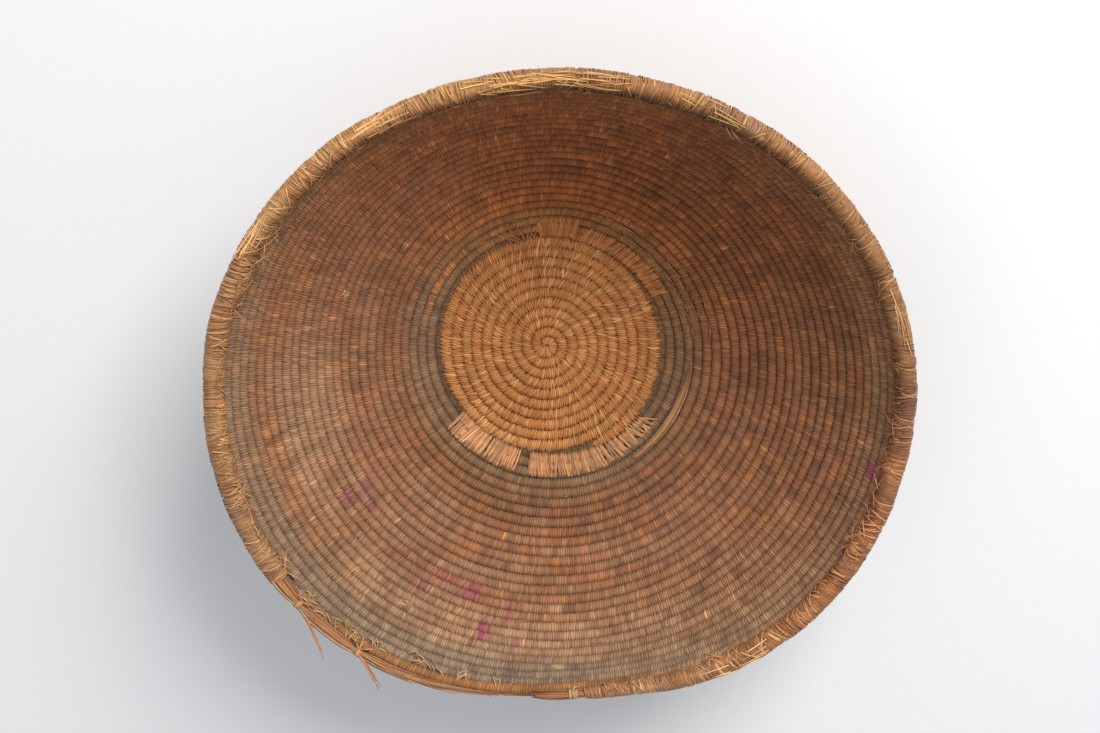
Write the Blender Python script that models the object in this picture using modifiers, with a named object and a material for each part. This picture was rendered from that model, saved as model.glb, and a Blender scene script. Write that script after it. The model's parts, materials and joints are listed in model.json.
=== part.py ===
"""Coiled straw winnowing basket.

A long bundle of grass is wound in a flat spiral to make the base disc, and a
second bundle goes on from its edge and climbs as the wall.  Every round is
bound to the one before it.  Around the lip a thicker bundle is overwrapped with
straw strips; on one stretch its binding has come off and the bare straw shows.

Frame: metres, +Z up, origin on the underside of the base at the start knot.
Sizes below are in millimetres, and in degrees where a name or comment says so.

Words used throughout: phi is a direction about +Z in radians, a turn is one
trip round a spiral (clockwise seen from above), and u is a distance up the
wall's surface counted in rounds.
"""

import math

import bpy
from mathutils import Vector

MM = 0.001
COLLECTION = "winnowing_basket"

# --- the coil -----------------------------------------------------------------
PITCH = 10.0            # centre to centre of neighbouring rounds
COIL_RADIUS = 4.75      # of one wrapped round, leaving a hairline to the next
END_GAP = 0.35          # between the end faces of consecutive pieces
ROPE_BEVEL = 1          # bevel resolution of every solid bar

# --- base disc ----------------------------------------------------------------
BASE_CENTRE_Z = COIL_RADIUS * math.cos(math.radians(30.0))   # hexagon on its flat
BASE_START_DEG = 198.0  # direction in which the spiral leaves the centre
BASE_TURNS = 10.74      # the last round tapers out after this many turns
BASE_STEPS_PER_TURN = 20
BASE_STRETCH = 1.024    # the disc is a little oval and longer to the -Y side
BASE_STRETCH_SIN = -0.0325
BASE_STRETCH_COS2 = -0.018
BASE_END_TAPER = (0.85, 0.55)   # radius factors of the last two points
KNOT_POINTS = 22
KNOT_TURNS = 0.985
KNOT_CLEAR = 0.35       # from the knot's outline to the middle of the groove

# --- wall -----------------------------------------------------------------------
# Slope of the bowl in degrees: (at the foot, gain to the lip) of each term.
WALL_SPAN = 26.0        # rounds over which the slope law runs
SLOPE_MEAN = (26.0, 38.2)
SLOPE_COS = (-7.06, 6.29)
SLOPE_SIN = (6.88, -3.04)
SLOPE_COS2 = (2.78, -8.71)
SLOPE_SIN2 = (3.02, -4.65)
SECTION_STEPS_PER_ROUND = 4     # for summing the slope

PRESSED = 22.0          # extra slope, in degrees, where the rim is pressed inward
PRESSED_AT_DEG = 278.0
PRESSED_FROM = 0.6      # share of the wall's rounds below the pressed part
PRESSED_MOST = 1.2      # limit of its growth with height
PRESSED_SHARPNESS = 10  # power that narrows it about its direction

FOOT_RADIUS = 118.5
FOOT_RADIUS_COS, FOOT_RADIUS_SIN = 5.16, -4.16
FOOT_Z = 6.1            # height of the wall's own zero round above the floor

WALL_STEPS_PER_TURN = 30
WALL_FIRST_TURN = -0.75
WALL_LAST_TURN = 24.87
WALL_LEAST_TURN = 0.3   # shortest piece allowed at the end
WALL_U_OFFSET = 0.5     # u of the coil at turn 0
WALL_START_TAPER = (0.5, 0.8)
WALL_END_TAPER = (0.8, 0.45)
WALL_SHIFT_STEPS = 3.0  # offset between the ends of successive rounds
WALL_GAP_RADIUS = 200.0     # typical radius, to turn END_GAP into turns
GREY_FIRST, GREY_LAST = 2, 3    # number of grey rounds at the foot and at the lip

# --- thin round hidden between disc and wall ----------------------------------------
JOIN_RADIUS = 3.6
JOIN_LEAST_RADIUS = 0.7
JOIN_CLEAR = 0.7
JOIN_FLOOR_GAP = 0.1
JOIN_START_DEG = 96.0   # direction of its last point
JOIN_STEPS = 25

# --- rim ------------------------------------------------------------------------
RIM_START_DEG = 219.5   # where the thick rim bundle takes over from the coil
RIM_U0, RIM_RISE = 25.93, 0.95  # u at the start, and its gain per turn
RIM_EXTRA_FROM, RIM_EXTRA_RISE = 0.6, 0.05  # turn at which it steepens, gain per turn
RIM_CORE_RADIUS = 6.9
RIM_BINDING_RADIUS = 9.65
RIM_BINDING_GAP = 0.75  # covers the facets of the two unlike sections
RIM_BINDING_BEVEL = 2   # bevel resolution
RIM_STEPS_PER_TURN = 34
RIM_CORE_START = 0.004  # this and the next four are in rim turns
RIM_FULL_END = 0.765    # where the roll begins to thin
RIM_THIN_END = 0.84     # where it is at its thinnest
RIM_TIE = 0.8445        # where a strip ties the bare core
RIM_END = 0.864         # where the core ends
RIM_THINNING = 0.45     # share of its radius lost by then
RIM_TIP_RADIUS = 4.2    # of the core's bare end
RIM_GAP_RADIUS = 300.0  # typical radius, to turn END_GAP into turns
STRIP_THICK = RIM_BINDING_RADIUS - RIM_CORE_RADIUS - RIM_BINDING_GAP

# Lengths of binding, end to end: name, end in rim steps.
BINDING_START = 0.3
BINDINGS = (
    ("rim_binding_left", 5.5),
    ("rim_binding_upper_left", 10.5),
    ("rim_binding_top", 15.5),
    ("rim_binding_upper_right", 20.5),
    ("rim_binding_right", 25.5),
    ("rim_binding_lower_right", 28.5),
)

# --- bare bundle where the binding is lost -----------------------------------------
BARE_RADIUS = 5.6
BARE_POINTS = 12
BARE_TAPER, BARE_TAPER_POWER = 0.72, 1.3
BARE_U = 26.32
BARE_DROP, BARE_DROP_FROM = 0.37, 0.5   # rounds it sinks, and from what share on
BARE_START_DEG = RIM_START_DEG - 0.2
BARE_SWEEP_DEG = 44.2

# --- ties --------------------------------------------------------------------------
TIE_HALF_ARC_DEG = 118.0
# On the bare bundle: name, share of the bundle's length, radius.
BARE_TIES = (
    ("rim_tie_upper", 0.061, 7.3),
    ("rim_tie_lower", 0.3665, 6.2),
)

# --- exposed strand -------------------------------------------------------------------
STRAND_RADIUS = 1.7
STRAND_POINTS = 10
STRAND_U, STRAND_CLIMB = 2.55, 0.25
STRAND_START_DEG, STRAND_SWEEP_DEG = -54.0, 46.0
STRAND_LIFT = COIL_RADIUS + 2.2     # from the middle of the wall

# --- straw ------------------------------------------------------------------------------
ROUGHNESS = 0.75
STRAW = (0.43, 0.23, 0.09, 1.0)
DARK_STRAW = (0.17, 0.095, 0.05, 1.0)
GREY_STRAW = (0.16, 0.125, 0.085, 1.0)
GOLD_STRAW = (0.50, 0.25, 0.07, 1.0)
BARE_STRAW = (0.52, 0.22, 0.08, 1.0)

# --- lashings of the base disc onto the wall ------------------------------------
LASH_CLEAR = 0.95
LASH_ROWS = 4
# Name, start and end in degrees, inner and outer edge from the foot, colour, columns.
LASHINGS = (
    ("base_lashing_upper_right", 24.0, 74.0, -8.0, 11.5, GOLD_STRAW, 9),
    ("base_lashing_top", 75.0, 92.0, -7.0, 15.5, BARE_STRAW, 4),
    ("base_lashing_thin", 93.0, 108.0, -6.0, 12.5, GOLD_STRAW, 3),
    ("base_lashing_lower_left", 219.0, 256.0, -9.0, 13.5, STRAW, 7),
    ("base_lashing_bottom", 260.5, 322.0, -9.0, 13.5, STRAW, 11),
)


def clear_scene():
    for obj in list(bpy.data.objects):
        bpy.data.objects.remove(obj, do_unlink=True)


def straw_material(name, colour):
    made = bpy.data.materials.new(name)
    made.use_nodes = True
    shader = made.node_tree.nodes["Principled BSDF"]
    shader.inputs["Base Color"].default_value = colour
    shader.inputs["Roughness"].default_value = ROUGHNESS
    shader.inputs["Metallic"].default_value = 0.0
    return made


def add_object(name, data, colour):
    obj = bpy.data.objects.new(name, data)
    bpy.data.collections[COLLECTION].objects.link(obj)
    data.materials.append(straw_material(name + "_straw", colour))
    return obj


# --- the bowl's shape -------------------------------------------------------------


def polar(radius, phi, z):
    """A point in metres from cylindrical millimetres."""
    return Vector((radius * math.cos(phi), radius * math.sin(phi), z)) * MM


def slope(u, phi):
    """Slope of the wall in radians, u rounds up from its foot, in direction phi."""
    t = u / WALL_SPAN

    def term(foot_and_gain):
        foot, gain = foot_and_gain
        return foot + gain * t

    toward = max(0.0, math.cos(phi - math.radians(PRESSED_AT_DEG))) ** PRESSED_SHARPNESS
    height = min(PRESSED_MOST, max(0.0, (t - PRESSED_FROM) / (1.0 - PRESSED_FROM)))
    return math.radians(
        term(SLOPE_MEAN)
        + term(SLOPE_COS) * math.cos(phi)
        + term(SLOPE_SIN) * math.sin(phi)
        + term(SLOPE_COS2) * math.cos(2 * phi)
        + term(SLOPE_SIN2) * math.sin(2 * phi)
        + PRESSED * toward * height
    )


def foot_radius(phi):
    return FOOT_RADIUS + FOOT_RADIUS_COS * math.cos(phi) + FOOT_RADIUS_SIN * math.sin(phi)


def wall_section(u, phi):
    """(radius, height) in mm of the middle of the wall, by summing its slope."""
    radius = foot_radius(phi)
    z = FOOT_Z
    count = max(2, int(abs(u) * SECTION_STEPS_PER_ROUND))
    step = u / count
    for i in range(count):
        angle = slope((i + 0.5) * step, phi)
        radius += PITCH * math.cos(angle) * step
        z += PITCH * math.sin(angle) * step
    return radius, z


def wall_point(u, phi, lift=0.0):
    """A point of the wall, moved by lift mm towards the inside of the bowl."""
    radius, z = wall_section(u, phi)
    angle = slope(u, phi)
    return polar(radius - lift * math.sin(angle), phi, z + lift * math.cos(angle))


def up_wall(u, phi):
    """Unit direction up the wall's surface, away from the base."""
    angle = slope(u, phi)
    return Vector(
        (math.cos(angle) * math.cos(phi), math.cos(angle) * math.sin(phi), math.sin(angle))
    )


def base_phi(turn):
    return math.radians(BASE_START_DEG) - math.tau * turn


def base_radius(turn):
    phi = base_phi(turn)
    stretch = (
        BASE_STRETCH
        + BASE_STRETCH_SIN * math.sin(phi)
        + BASE_STRETCH_COS2 * math.cos(2 * phi)
    )
    return PITCH * turn * stretch


def base_point(turn):
    return polar(base_radius(turn), base_phi(turn), BASE_CENTRE_Z)


def coil_point(turn):
    return wall_point(turn + WALL_U_OFFSET, math.pi - math.tau * turn)


def rim_phi(turn):
    return math.radians(RIM_START_DEG) - math.tau * turn


def rim_radius(turn):
    """Outer radius of the roll: it thins towards its tied-off end."""
    if turn <= RIM_FULL_END:
        return RIM_BINDING_RADIUS
    t = min(1.0, (turn - RIM_FULL_END) / (RIM_THIN_END - RIM_FULL_END))
    return RIM_BINDING_RADIUS * (1.0 - RIM_THINNING * t)


def core_radius(turn):
    """The core swells again at its bare end, past its binding."""
    if turn > RIM_END - 0.001:
        return RIM_TIP_RADIUS
    return rim_radius(turn) - (RIM_BINDING_RADIUS - RIM_CORE_RADIUS)


def rim_u(turn):
    """The roll lies against the last round, so it sinks as it thins."""
    thinned = RIM_BINDING_RADIUS - rim_radius(turn)
    extra = RIM_EXTRA_RISE * max(0.0, turn - RIM_EXTRA_FROM)
    return RIM_U0 + RIM_RISE * turn - thinned / PITCH + extra


def rim_point(turn):
    return wall_point(rim_u(turn), rim_phi(turn))


# --- places along a spiral ------------------------------------------------------------


def grid_turns(first, last, steps):
    """Turn values from first to last, on a fixed grid of directions in between."""
    turns = [first]
    k = math.floor(first * steps + 0.2) + 1
    while k < last * steps - 0.2:
        turns.append(k / steps)
        k += 1
    turns.append(last)
    return turns


def on_chord(point_at, turn, steps):
    """The point at turn, on the straight run between its two grid directions.

    Two rounds cut on the same run have parallel end faces, and rounds that share
    the grid of directions nest without touching."""
    k = math.floor(turn * steps + 1e-6)
    return point_at(k / steps).lerp(point_at((k + 1) / steps), turn * steps - k)


def half_gap(radius):
    """Half of END_GAP as a share of a turn at this radius."""
    return 0.5 * END_GAP / (math.tau * radius)


# --- solids -------------------------------------------------------------------------


def fill_line(line, points, scale):
    line.points.add(len(points) - 1)
    for target, point, factor in zip(line.points, points, scale):
        target.co = (*point, 1.0)
        target.radius = factor


def bar_curve(name, points, radius, scale, bevel, caps):
    """A round section swept along the points; scale is its radius factor at each."""
    curve = bpy.data.curves.new(name, "CURVE")
    curve.dimensions = "3D"
    curve.twist_mode = "Z_UP"
    curve.bevel_depth = radius * MM
    curve.bevel_resolution = bevel
    curve.use_fill_caps = caps
    fill_line(curve.splines.new("POLY"), points, scale)
    return curve


def rope(name, points, radius, colour, scale):
    """A closed round bar along the points."""
    curve = bar_curve(name, points, radius, scale, bevel=ROPE_BEVEL, caps=True)
    add_object(name, curve, colour)


def solidify(obj, name, thick, offset, even):
    shell = obj.modifiers.new(name, "SOLIDIFY")
    shell.thickness = thick * MM
    shell.offset = offset
    shell.use_even_offset = even


def strip_sheet(name, columns, colour, thick, offset, even):
    """A thickened sheet over columns of points, all columns of equal length."""
    size = len(columns[0])
    faces = []
    for i in range(len(columns) - 1):
        for j in range(size - 1):
            corner = i * size + j
            faces.append((corner, corner + size, corner + size + 1, corner + 1))
    mesh = bpy.data.meshes.new(name)
    mesh.from_pydata([point for column in columns for point in column], [], faces)
    mesh.update()
    solidify(add_object(name, mesh, colour), "strip_thickness", thick, offset, even)


# --- base and wall -----------------------------------------------------------------------


def start_knot():
    """The curled start of the spiral: a flat comma that the first round hugs."""
    name = "base_start_knot"
    points = []
    for i in range(KNOT_POINTS):
        turn = KNOT_TURNS * i / (KNOT_POINTS - 1)
        points.append(polar(PITCH * turn + PITCH / 2 - KNOT_CLEAR, base_phi(turn), 0.0))
    curve = bpy.data.curves.new(name, "CURVE")
    curve.dimensions = "2D"
    curve.fill_mode = "BOTH"
    curve.extrude = BASE_CENTRE_Z * MM
    line = curve.splines.new("POLY")
    line.use_cyclic_u = True
    fill_line(line, points, [1.0] * KNOT_POINTS)
    add_object(name, curve, STRAW).location = (0.0, 0.0, BASE_CENTRE_Z * MM)


def base_rounds():
    rounds = math.ceil(BASE_TURNS) - 1
    half_step = 0.5 / BASE_STEPS_PER_TURN
    for k in range(1, rounds + 1):
        gap = half_gap(PITCH * (k + 0.5))
        first = k + half_step + gap
        last = k + 1 + half_step - gap if k < rounds else BASE_TURNS
        turns = grid_turns(first, last, BASE_STEPS_PER_TURN)
        scale = [1.0] * len(turns)
        if k == rounds:
            scale[-2:] = BASE_END_TAPER
        points = [on_chord(base_point, t, BASE_STEPS_PER_TURN) for t in turns]
        rope("base_coil_round_%02d" % k, points, COIL_RADIUS, STRAW, scale)


def base_edge(phi):
    """Outer radius in mm of the disc in direction phi."""
    turn = ((math.radians(BASE_START_DEG) - phi) / math.tau) % 1.0
    turn += math.floor(BASE_TURNS + 0.05 - turn)
    return base_radius(turn) + COIL_RADIUS


def joining_round():
    """A thin hidden round filling the groove where the disc meets the wall."""
    points, scale = [], []
    for k in range(JOIN_STEPS, -1, -1):
        phi = math.radians(JOIN_START_DEG + 360.0 * k / WALL_STEPS_PER_TURN)
        turn = 0.5 - phi / math.tau
        turn -= math.floor(turn - WALL_FIRST_TURN)
        wall_radius, _ = wall_section(turn + WALL_U_OFFSET, phi)
        inner = base_edge(phi) + JOIN_CLEAR
        outer = wall_radius - COIL_RADIUS - JOIN_CLEAR
        radius = min(JOIN_RADIUS, max(0.5 * (outer - inner), JOIN_LEAST_RADIUS))
        points.append(polar(0.5 * (inner + outer), phi, radius + JOIN_FLOOR_GAP))
        scale.append(radius / JOIN_RADIUS)
    rope("base_joining_round", points, JOIN_RADIUS, DARK_STRAW, scale)


def wall_rounds():
    cuts = [WALL_FIRST_TURN]
    while cuts[-1] + 1.0 < WALL_LAST_TURN - WALL_LEAST_TURN:
        cuts.append(cuts[-1] + 1.0)
    cuts.append(WALL_LAST_TURN)
    rounds = len(cuts) - 1
    # the cuts are staggered in a cycle of three, like brickwork
    for k in range(1, rounds):
        cuts[k] += WALL_SHIFT_STEPS * (k % 3) / WALL_STEPS_PER_TURN

    gap = half_gap(WALL_GAP_RADIUS)
    for k in range(rounds):
        at_foot, at_lip = k == 0, k == rounds - 1
        first = cuts[k] if at_foot else cuts[k] + gap
        last = cuts[k + 1] if at_lip else cuts[k + 1] - gap
        turns = grid_turns(first, last, WALL_STEPS_PER_TURN)
        scale = [1.0] * len(turns)
        if at_foot:
            scale[:2] = WALL_START_TAPER
        if at_lip:
            scale[-2:] = WALL_END_TAPER
        points = [on_chord(coil_point, t, WALL_STEPS_PER_TURN) for t in turns]
        grey = k < GREY_FIRST or k >= rounds - GREY_LAST
        colour = GREY_STRAW if grey else DARK_STRAW
        rope("wall_coil_round_%02d" % (k + 1), points, COIL_RADIUS, colour, scale)


# --- rim pieces --------------------------------------------------------------------------


def rim_core():
    turns = grid_turns(RIM_CORE_START, RIM_END, RIM_STEPS_PER_TURN)
    points = [on_chord(rim_point, t, RIM_STEPS_PER_TURN) for t in turns]
    scale = [core_radius(t) / RIM_CORE_RADIUS for t in turns]
    rope("rim_core_bundle", points, RIM_CORE_RADIUS, BARE_STRAW, scale)


def rim_binding(name, first, last):
    """A sleeve of wrapped strips around the core: an open tube made solid."""
    turns = grid_turns(first, last, RIM_STEPS_PER_TURN)
    points = [on_chord(rim_point, t, RIM_STEPS_PER_TURN) for t in turns]
    scale = [rim_radius(t) / RIM_BINDING_RADIUS for t in turns]
    curve = bar_curve(
        name, points, RIM_BINDING_RADIUS, scale, bevel=RIM_BINDING_BEVEL, caps=False
    )
    # the modifier needs a mesh, so the curve is turned into one through a guide
    guide = bpy.data.objects.new(name + "_guide", curve)
    bpy.context.scene.collection.objects.link(guide)
    graph = bpy.context.evaluated_depsgraph_get()
    mesh = bpy.data.meshes.new_from_object(guide.evaluated_get(graph))
    bpy.data.objects.remove(guide, do_unlink=True)
    mesh.name = name
    obj = add_object(name, mesh, GOLD_STRAW)
    solidify(obj, "shell", STRIP_THICK, offset=-1.0, even=False)


def rim_bindings():
    gap = half_gap(RIM_GAP_RADIUS)
    start = BINDING_START
    for name, end in BINDINGS:
        rim_binding(name, start / RIM_STEPS_PER_TURN + gap, end / RIM_STEPS_PER_TURN - gap)
        start = end


def bare_place(t):
    """(u, phi) of the bare bundle: t is 0 at the roll, 1 at its tip."""
    u = BARE_U - BARE_DROP * max(0.0, (t - BARE_DROP_FROM) / (1.0 - BARE_DROP_FROM))
    return u, math.radians(BARE_START_DEG + BARE_SWEEP_DEG * t)


def bare_bundle():
    """The foot of the rim bundle where the binding is lost: it tapers to a tip."""
    shares = [i / (BARE_POINTS - 1) for i in range(BARE_POINTS)]
    points = [wall_point(*bare_place(t)) for t in shares]
    scale = [1.0 - BARE_TAPER * t ** BARE_TAPER_POWER for t in shares]
    rope("rim_bare_straw_bundle", points, BARE_RADIUS, BARE_STRAW, scale)


def tie(name, centre, u, phi, radius, width, thick, count):
    """A flat strip bent round a bundle, open on the side towards the base."""
    along = Vector((-math.sin(phi), math.cos(phi), 0.0))
    outward = up_wall(u, phi)
    across = along.cross(outward)
    columns = []
    for i in range(count):
        angle = math.radians(TIE_HALF_ARC_DEG * (2.0 * i / (count - 1) - 1.0))
        middle = centre + MM * radius * (math.cos(angle) * outward + math.sin(angle) * across)
        columns.append([middle + MM * side * width * along for side in (-0.5, 0.5)])
    strip_sheet(name, columns, GOLD_STRAW, thick, offset=0.0, even=True)


def ties():
    for name, share, radius in BARE_TIES:
        u, phi = bare_place(share)
        centre = wall_point(u, phi)
        tie(name, centre, u, phi, radius, width=4.4, thick=2.1, count=13)
    centre = on_chord(rim_point, RIM_TIE, RIM_STEPS_PER_TURN)
    u, phi = rim_u(RIM_TIE), rim_phi(RIM_TIE)
    tie("rim_tie_right", centre, u, phi, radius=5.9, width=3.8, thick=1.9, count=12)


# --- strips and straws over the first rounds -------------------------------------------------


def foot_top(radius, phi):
    """Height in mm of the upper side of the base edge and first rounds."""
    angle = slope(0.5, phi)
    rise = math.tan(angle) * (radius - foot_radius(phi))
    return max(2 * BASE_CENTRE_Z, FOOT_Z + rise + COIL_RADIUS / math.cos(angle))


def lashing(name, start, end, inner, outer, colour, count):
    """A row of strips sewn side by side from the disc over the first rounds."""
    columns = []
    for i in range(count + 1):
        phi = math.radians(start + (end - start) * i / count)
        column = []
        for j in range(LASH_ROWS + 1):
            radius = foot_radius(phi) + inner + (outer - inner) * j / LASH_ROWS
            column.append(polar(radius, phi, foot_top(radius, phi) + LASH_CLEAR))
        columns.append(column)
    # the faces look down, so this offset thickens the sheet upwards
    strip_sheet(name, columns, colour, STRIP_THICK, offset=-1.0, even=False)


def exposed_strand():
    """Foundation straws lying bare over a round whose stitches have worn off."""
    points, scale = [], []
    for i in range(STRAND_POINTS):
        t = i / (STRAND_POINTS - 1)
        phi = math.radians(STRAND_START_DEG + STRAND_SWEEP_DEG * t)
        points.append(wall_point(STRAND_U + STRAND_CLIMB * t, phi, STRAND_LIFT))
        # fullest in the middle, thin at both ends
        scale.append(0.35 + 0.65 * math.sin(math.pi * (0.12 + 0.76 * t)))
    rope("exposed_core_strand", points, STRAND_RADIUS, BARE_STRAW, scale)


clear_scene()
bpy.context.scene.collection.children.link(bpy.data.collections.new(COLLECTION))
start_knot()
base_rounds()
joining_round()
wall_rounds()
rim_core()
rim_bindings()
bare_bundle()
ties()
for entry in LASHINGS:
    lashing(*entry)
exposed_strand()
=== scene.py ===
"""A coiled straw winnowing basket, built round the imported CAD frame.

The bowl stands on the floor and opens towards +Z, with its axis on Z. An angle phi runs from
+X towards +Y. In comments right is +X, left is -X, upper is +Y and lower is -Y.
Lengths are millimetres until a mesh is made. A `level` counts rounds up the wall from its
foot, a `turn` counts turns along a coil, and a `dist` is a length along a coil.
Every stitch of the coil, every strip of the rim and every loose straw is geometry.
"""

import json
import math

import bpy
import numpy as np
from mathutils import Matrix, Vector


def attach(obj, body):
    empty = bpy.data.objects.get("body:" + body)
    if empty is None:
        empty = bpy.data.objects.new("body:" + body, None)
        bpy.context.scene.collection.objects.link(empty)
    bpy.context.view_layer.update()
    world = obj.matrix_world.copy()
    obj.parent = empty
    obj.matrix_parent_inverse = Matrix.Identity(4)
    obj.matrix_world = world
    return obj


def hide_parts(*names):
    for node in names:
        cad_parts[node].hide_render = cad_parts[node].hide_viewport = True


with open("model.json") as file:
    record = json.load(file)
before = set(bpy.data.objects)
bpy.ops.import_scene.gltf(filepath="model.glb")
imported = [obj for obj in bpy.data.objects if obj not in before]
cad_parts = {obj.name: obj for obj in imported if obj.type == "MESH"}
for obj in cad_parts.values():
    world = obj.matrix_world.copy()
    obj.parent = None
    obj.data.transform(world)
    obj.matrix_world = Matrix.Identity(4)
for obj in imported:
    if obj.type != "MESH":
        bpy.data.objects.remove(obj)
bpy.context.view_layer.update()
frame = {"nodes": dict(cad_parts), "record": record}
SLOT_OF = {row["node"]: row["material_slot"] for row in frame["record"]["subparts"]}
NODES = frame["nodes"]
MM = 0.001
TAU = 2.0 * math.pi

PITCH = 10.0  # from one round to the next
BASE_START = math.radians(198.0)
BASE_TURNS = 10.74
WALL_SPAN = 26.0  # rounds up the wall
WALL_START, WALL_END = -0.75, 24.8895  # turns
FOOT_Z = 6.1
RIM_START = math.radians(219.5)
RIM_RADIUS = 9.65
# turns along the roll: where it thins, where its binding ends, its tie and its end
RIM_FULL_END, RIM_THIN_END, RIM_BOUND_END, RIM_TIE, RIM_END = 0.765, 0.84, 0.838, 0.8445, 0.864
RIM_STEPS = 34  # the roll's sections are set out in 34ths of a turn


# ------------------------------------------------------------------ small helpers
def unit(vector):
    return vector / np.maximum(np.linalg.norm(vector, axis=-1, keepdims=True), 1e-9)


def tangents(path):
    return unit(np.gradient(path, axis=0))


def arc_length(path):
    return np.concatenate([[0], np.cumsum(np.linalg.norm(np.diff(path, axis=0), axis=1))])


def plan_radius(point):
    return np.linalg.norm(point[..., :2], axis=-1)


def ease(part):
    return part * part * (3 - 2 * part)


def smooth(value, low, high):
    return ease(np.clip((value - low) / (high - low), 0, 1))


def mix(first, second, amount):
    amount = np.asarray(amount)[..., None]
    return first * (1 - amount) + second * amount


def around(phi, centre, half):
    """1 at the centre direction (degrees), 0 beyond half degrees away."""
    away = np.abs((np.degrees(phi) - centre + 180.0) % 360.0 - 180.0)
    return 1 - smooth(away, 0, half)


def join(*parts):
    """Stacks broadcast parts into vectors."""
    return np.stack(np.broadcast_arrays(*parts), -1)


def polar(radius, phi, z):
    return join(radius * np.cos(phi), radius * np.sin(phi), z)


def wrapped_lookup(table, row, col, easing=lambda part: part):
    """table at a fractional row and column; the columns wrap round."""
    i = np.floor(row).astype(int)
    j = np.floor(col).astype(int) % table.shape[1]
    j_next = (j + 1) % table.shape[1]
    row_part, col_part = easing(row - np.floor(row)), easing(col - np.floor(col))
    here = table[i, j] * (1 - row_part) + table[i + 1, j] * row_part
    beyond = table[i, j_next] * (1 - row_part) + table[i + 1, j_next] * row_part
    return here * (1 - col_part) + beyond * col_part


def lattice(seed, rows, cols):
    """Smooth seeded noise over (level, phi), periodic in phi, about -1 to 1."""
    grid = np.random.default_rng(seed).uniform(-1, 1, (rows + 2, cols))

    def noise(level, phi):
        row = np.clip((level + 2.0) / 30.0 * rows, 0, rows - 0.001)
        return wrapped_lookup(grid, row, (phi % TAU) / TAU * cols, ease)

    return noise


def line_noise(dist, seed, step):
    """Smooth seeded noise along a length."""
    values = np.random.default_rng(seed).uniform(-1, 1, int(dist.max() / step) + 4)
    place = dist / step
    i = np.floor(place).astype(int)
    part = ease(place - i)
    return values[i] * (1 - part) + values[i + 1] * part


# ------------------------------------------------------------------ bowl shape
def slope(level, phi):
    """Lean of the wall from the floor, in radians."""
    height = level / WALL_SPAN
    degrees = (
        26.0 + 38.2 * height
        + (-7.06 + 6.29 * height) * np.cos(phi)
        + (6.88 - 3.04 * height) * np.sin(phi)
        + (2.78 - 8.71 * height) * np.cos(2 * phi)
        + (3.02 - 4.65 * height) * np.sin(2 * phi)
        # steeper near the top at the lower side
        + 22.0 * np.maximum(0, np.cos(phi - math.radians(278.0))) ** 10
        * np.clip((height - 0.6) / 0.4, 0, 1.2)
    )
    return np.radians(degrees)


def foot_radius(phi):
    return 118.5 + 5.16 * np.cos(phi) - 4.16 * np.sin(phi)


LEVEL_LOW, LEVEL_STEP, LEVEL_COUNT, PHI_COUNT = -2.0, 0.1, 311, 720


def section_tables():
    """Radius and height of the wall by level and phi, summed up along its slope."""
    levels = LEVEL_LOW + LEVEL_STEP * np.arange(LEVEL_COUNT)
    phis = TAU * np.arange(PHI_COUNT) / PHI_COUNT
    lean = slope(levels[:, None], phis[None])
    foot = int(round(-LEVEL_LOW / LEVEL_STEP))
    tables = []
    for rate, start in ((PITCH * np.cos(lean), foot_radius(phis)), (PITCH * np.sin(lean), FOOT_Z)):
        table = np.zeros_like(lean)
        table[1:] = np.cumsum(0.5 * (rate[1:] + rate[:-1]), 0) * LEVEL_STEP
        tables.append(table + (start - table[foot]))
    return tables


RADIUS_TABLE, HEIGHT_TABLE = section_tables()


def section(level, phi):
    """Radius and height of the middle of the wall."""
    row = np.clip((level - LEVEL_LOW) / LEVEL_STEP, 0, LEVEL_COUNT - 1.001)
    col = (phi % TAU) / TAU * PHI_COUNT
    return wrapped_lookup(RADIUS_TABLE, row, col), wrapped_lookup(HEIGHT_TABLE, row, col)


def slope_frame(radius, z, lean, phi):
    """Point, up-slope direction and inward normal of a surface leaning by `lean`."""
    rise = polar(np.cos(lean), phi, np.sin(lean))
    face = polar(-np.sin(lean), phi, np.cos(lean))
    return polar(radius, phi, z), rise, face


bulge_wide, bulge_small = lattice(11, 9, 14), lattice(12, 26, 46)
shift_wide, shift_small = lattice(13, 14, 18), lattice(14, 27, 60)


def wall_frame(level, phi, wobble=1.0):
    """Frame of the wall at (level, phi), with its hand-made unevenness."""
    amount = wobble * np.clip(level / 3.0, 0, 1) * np.clip((27.5 - level) / 3.0, 0.25, 1)
    shift = amount * (0.05 * shift_wide(level, phi) + 0.022 * shift_small(level, phi))
    bulge = amount * (1.4 * bulge_wide(level, phi) + 0.42 * bulge_small(level, phi))
    radius, z = section(level + shift, phi)
    lean = slope(level, phi)
    return slope_frame(radius - bulge * np.sin(lean), z + bulge * np.cos(lean), lean, phi)


def wall_points(turn):
    phi = math.pi - TAU * turn
    return (*wall_frame(turn + 0.5, phi), phi)


def base_points(turn):
    phi = BASE_START - TAU * turn
    stretch = 1.024 - 0.0325 * np.sin(phi) - 0.018 * np.cos(2 * phi)
    ripple = 0.22 * np.sin(3 * phi + 1.0) * np.clip(turn / 4, 0, 1)
    z = 4.6 + 0.25 * np.sin(2 * phi + 0.6) * np.clip(turn / 8, 0, 1)
    return (*slope_frame(PITCH * turn * stretch + ripple, z, 0 * phi, phi), phi)


def outermost_turn(phi):
    """Turn of the base coil's last round in the direction phi."""
    turn = ((BASE_START - phi) / TAU) % 1.0
    return turn + np.floor(BASE_TURNS - turn)


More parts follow.
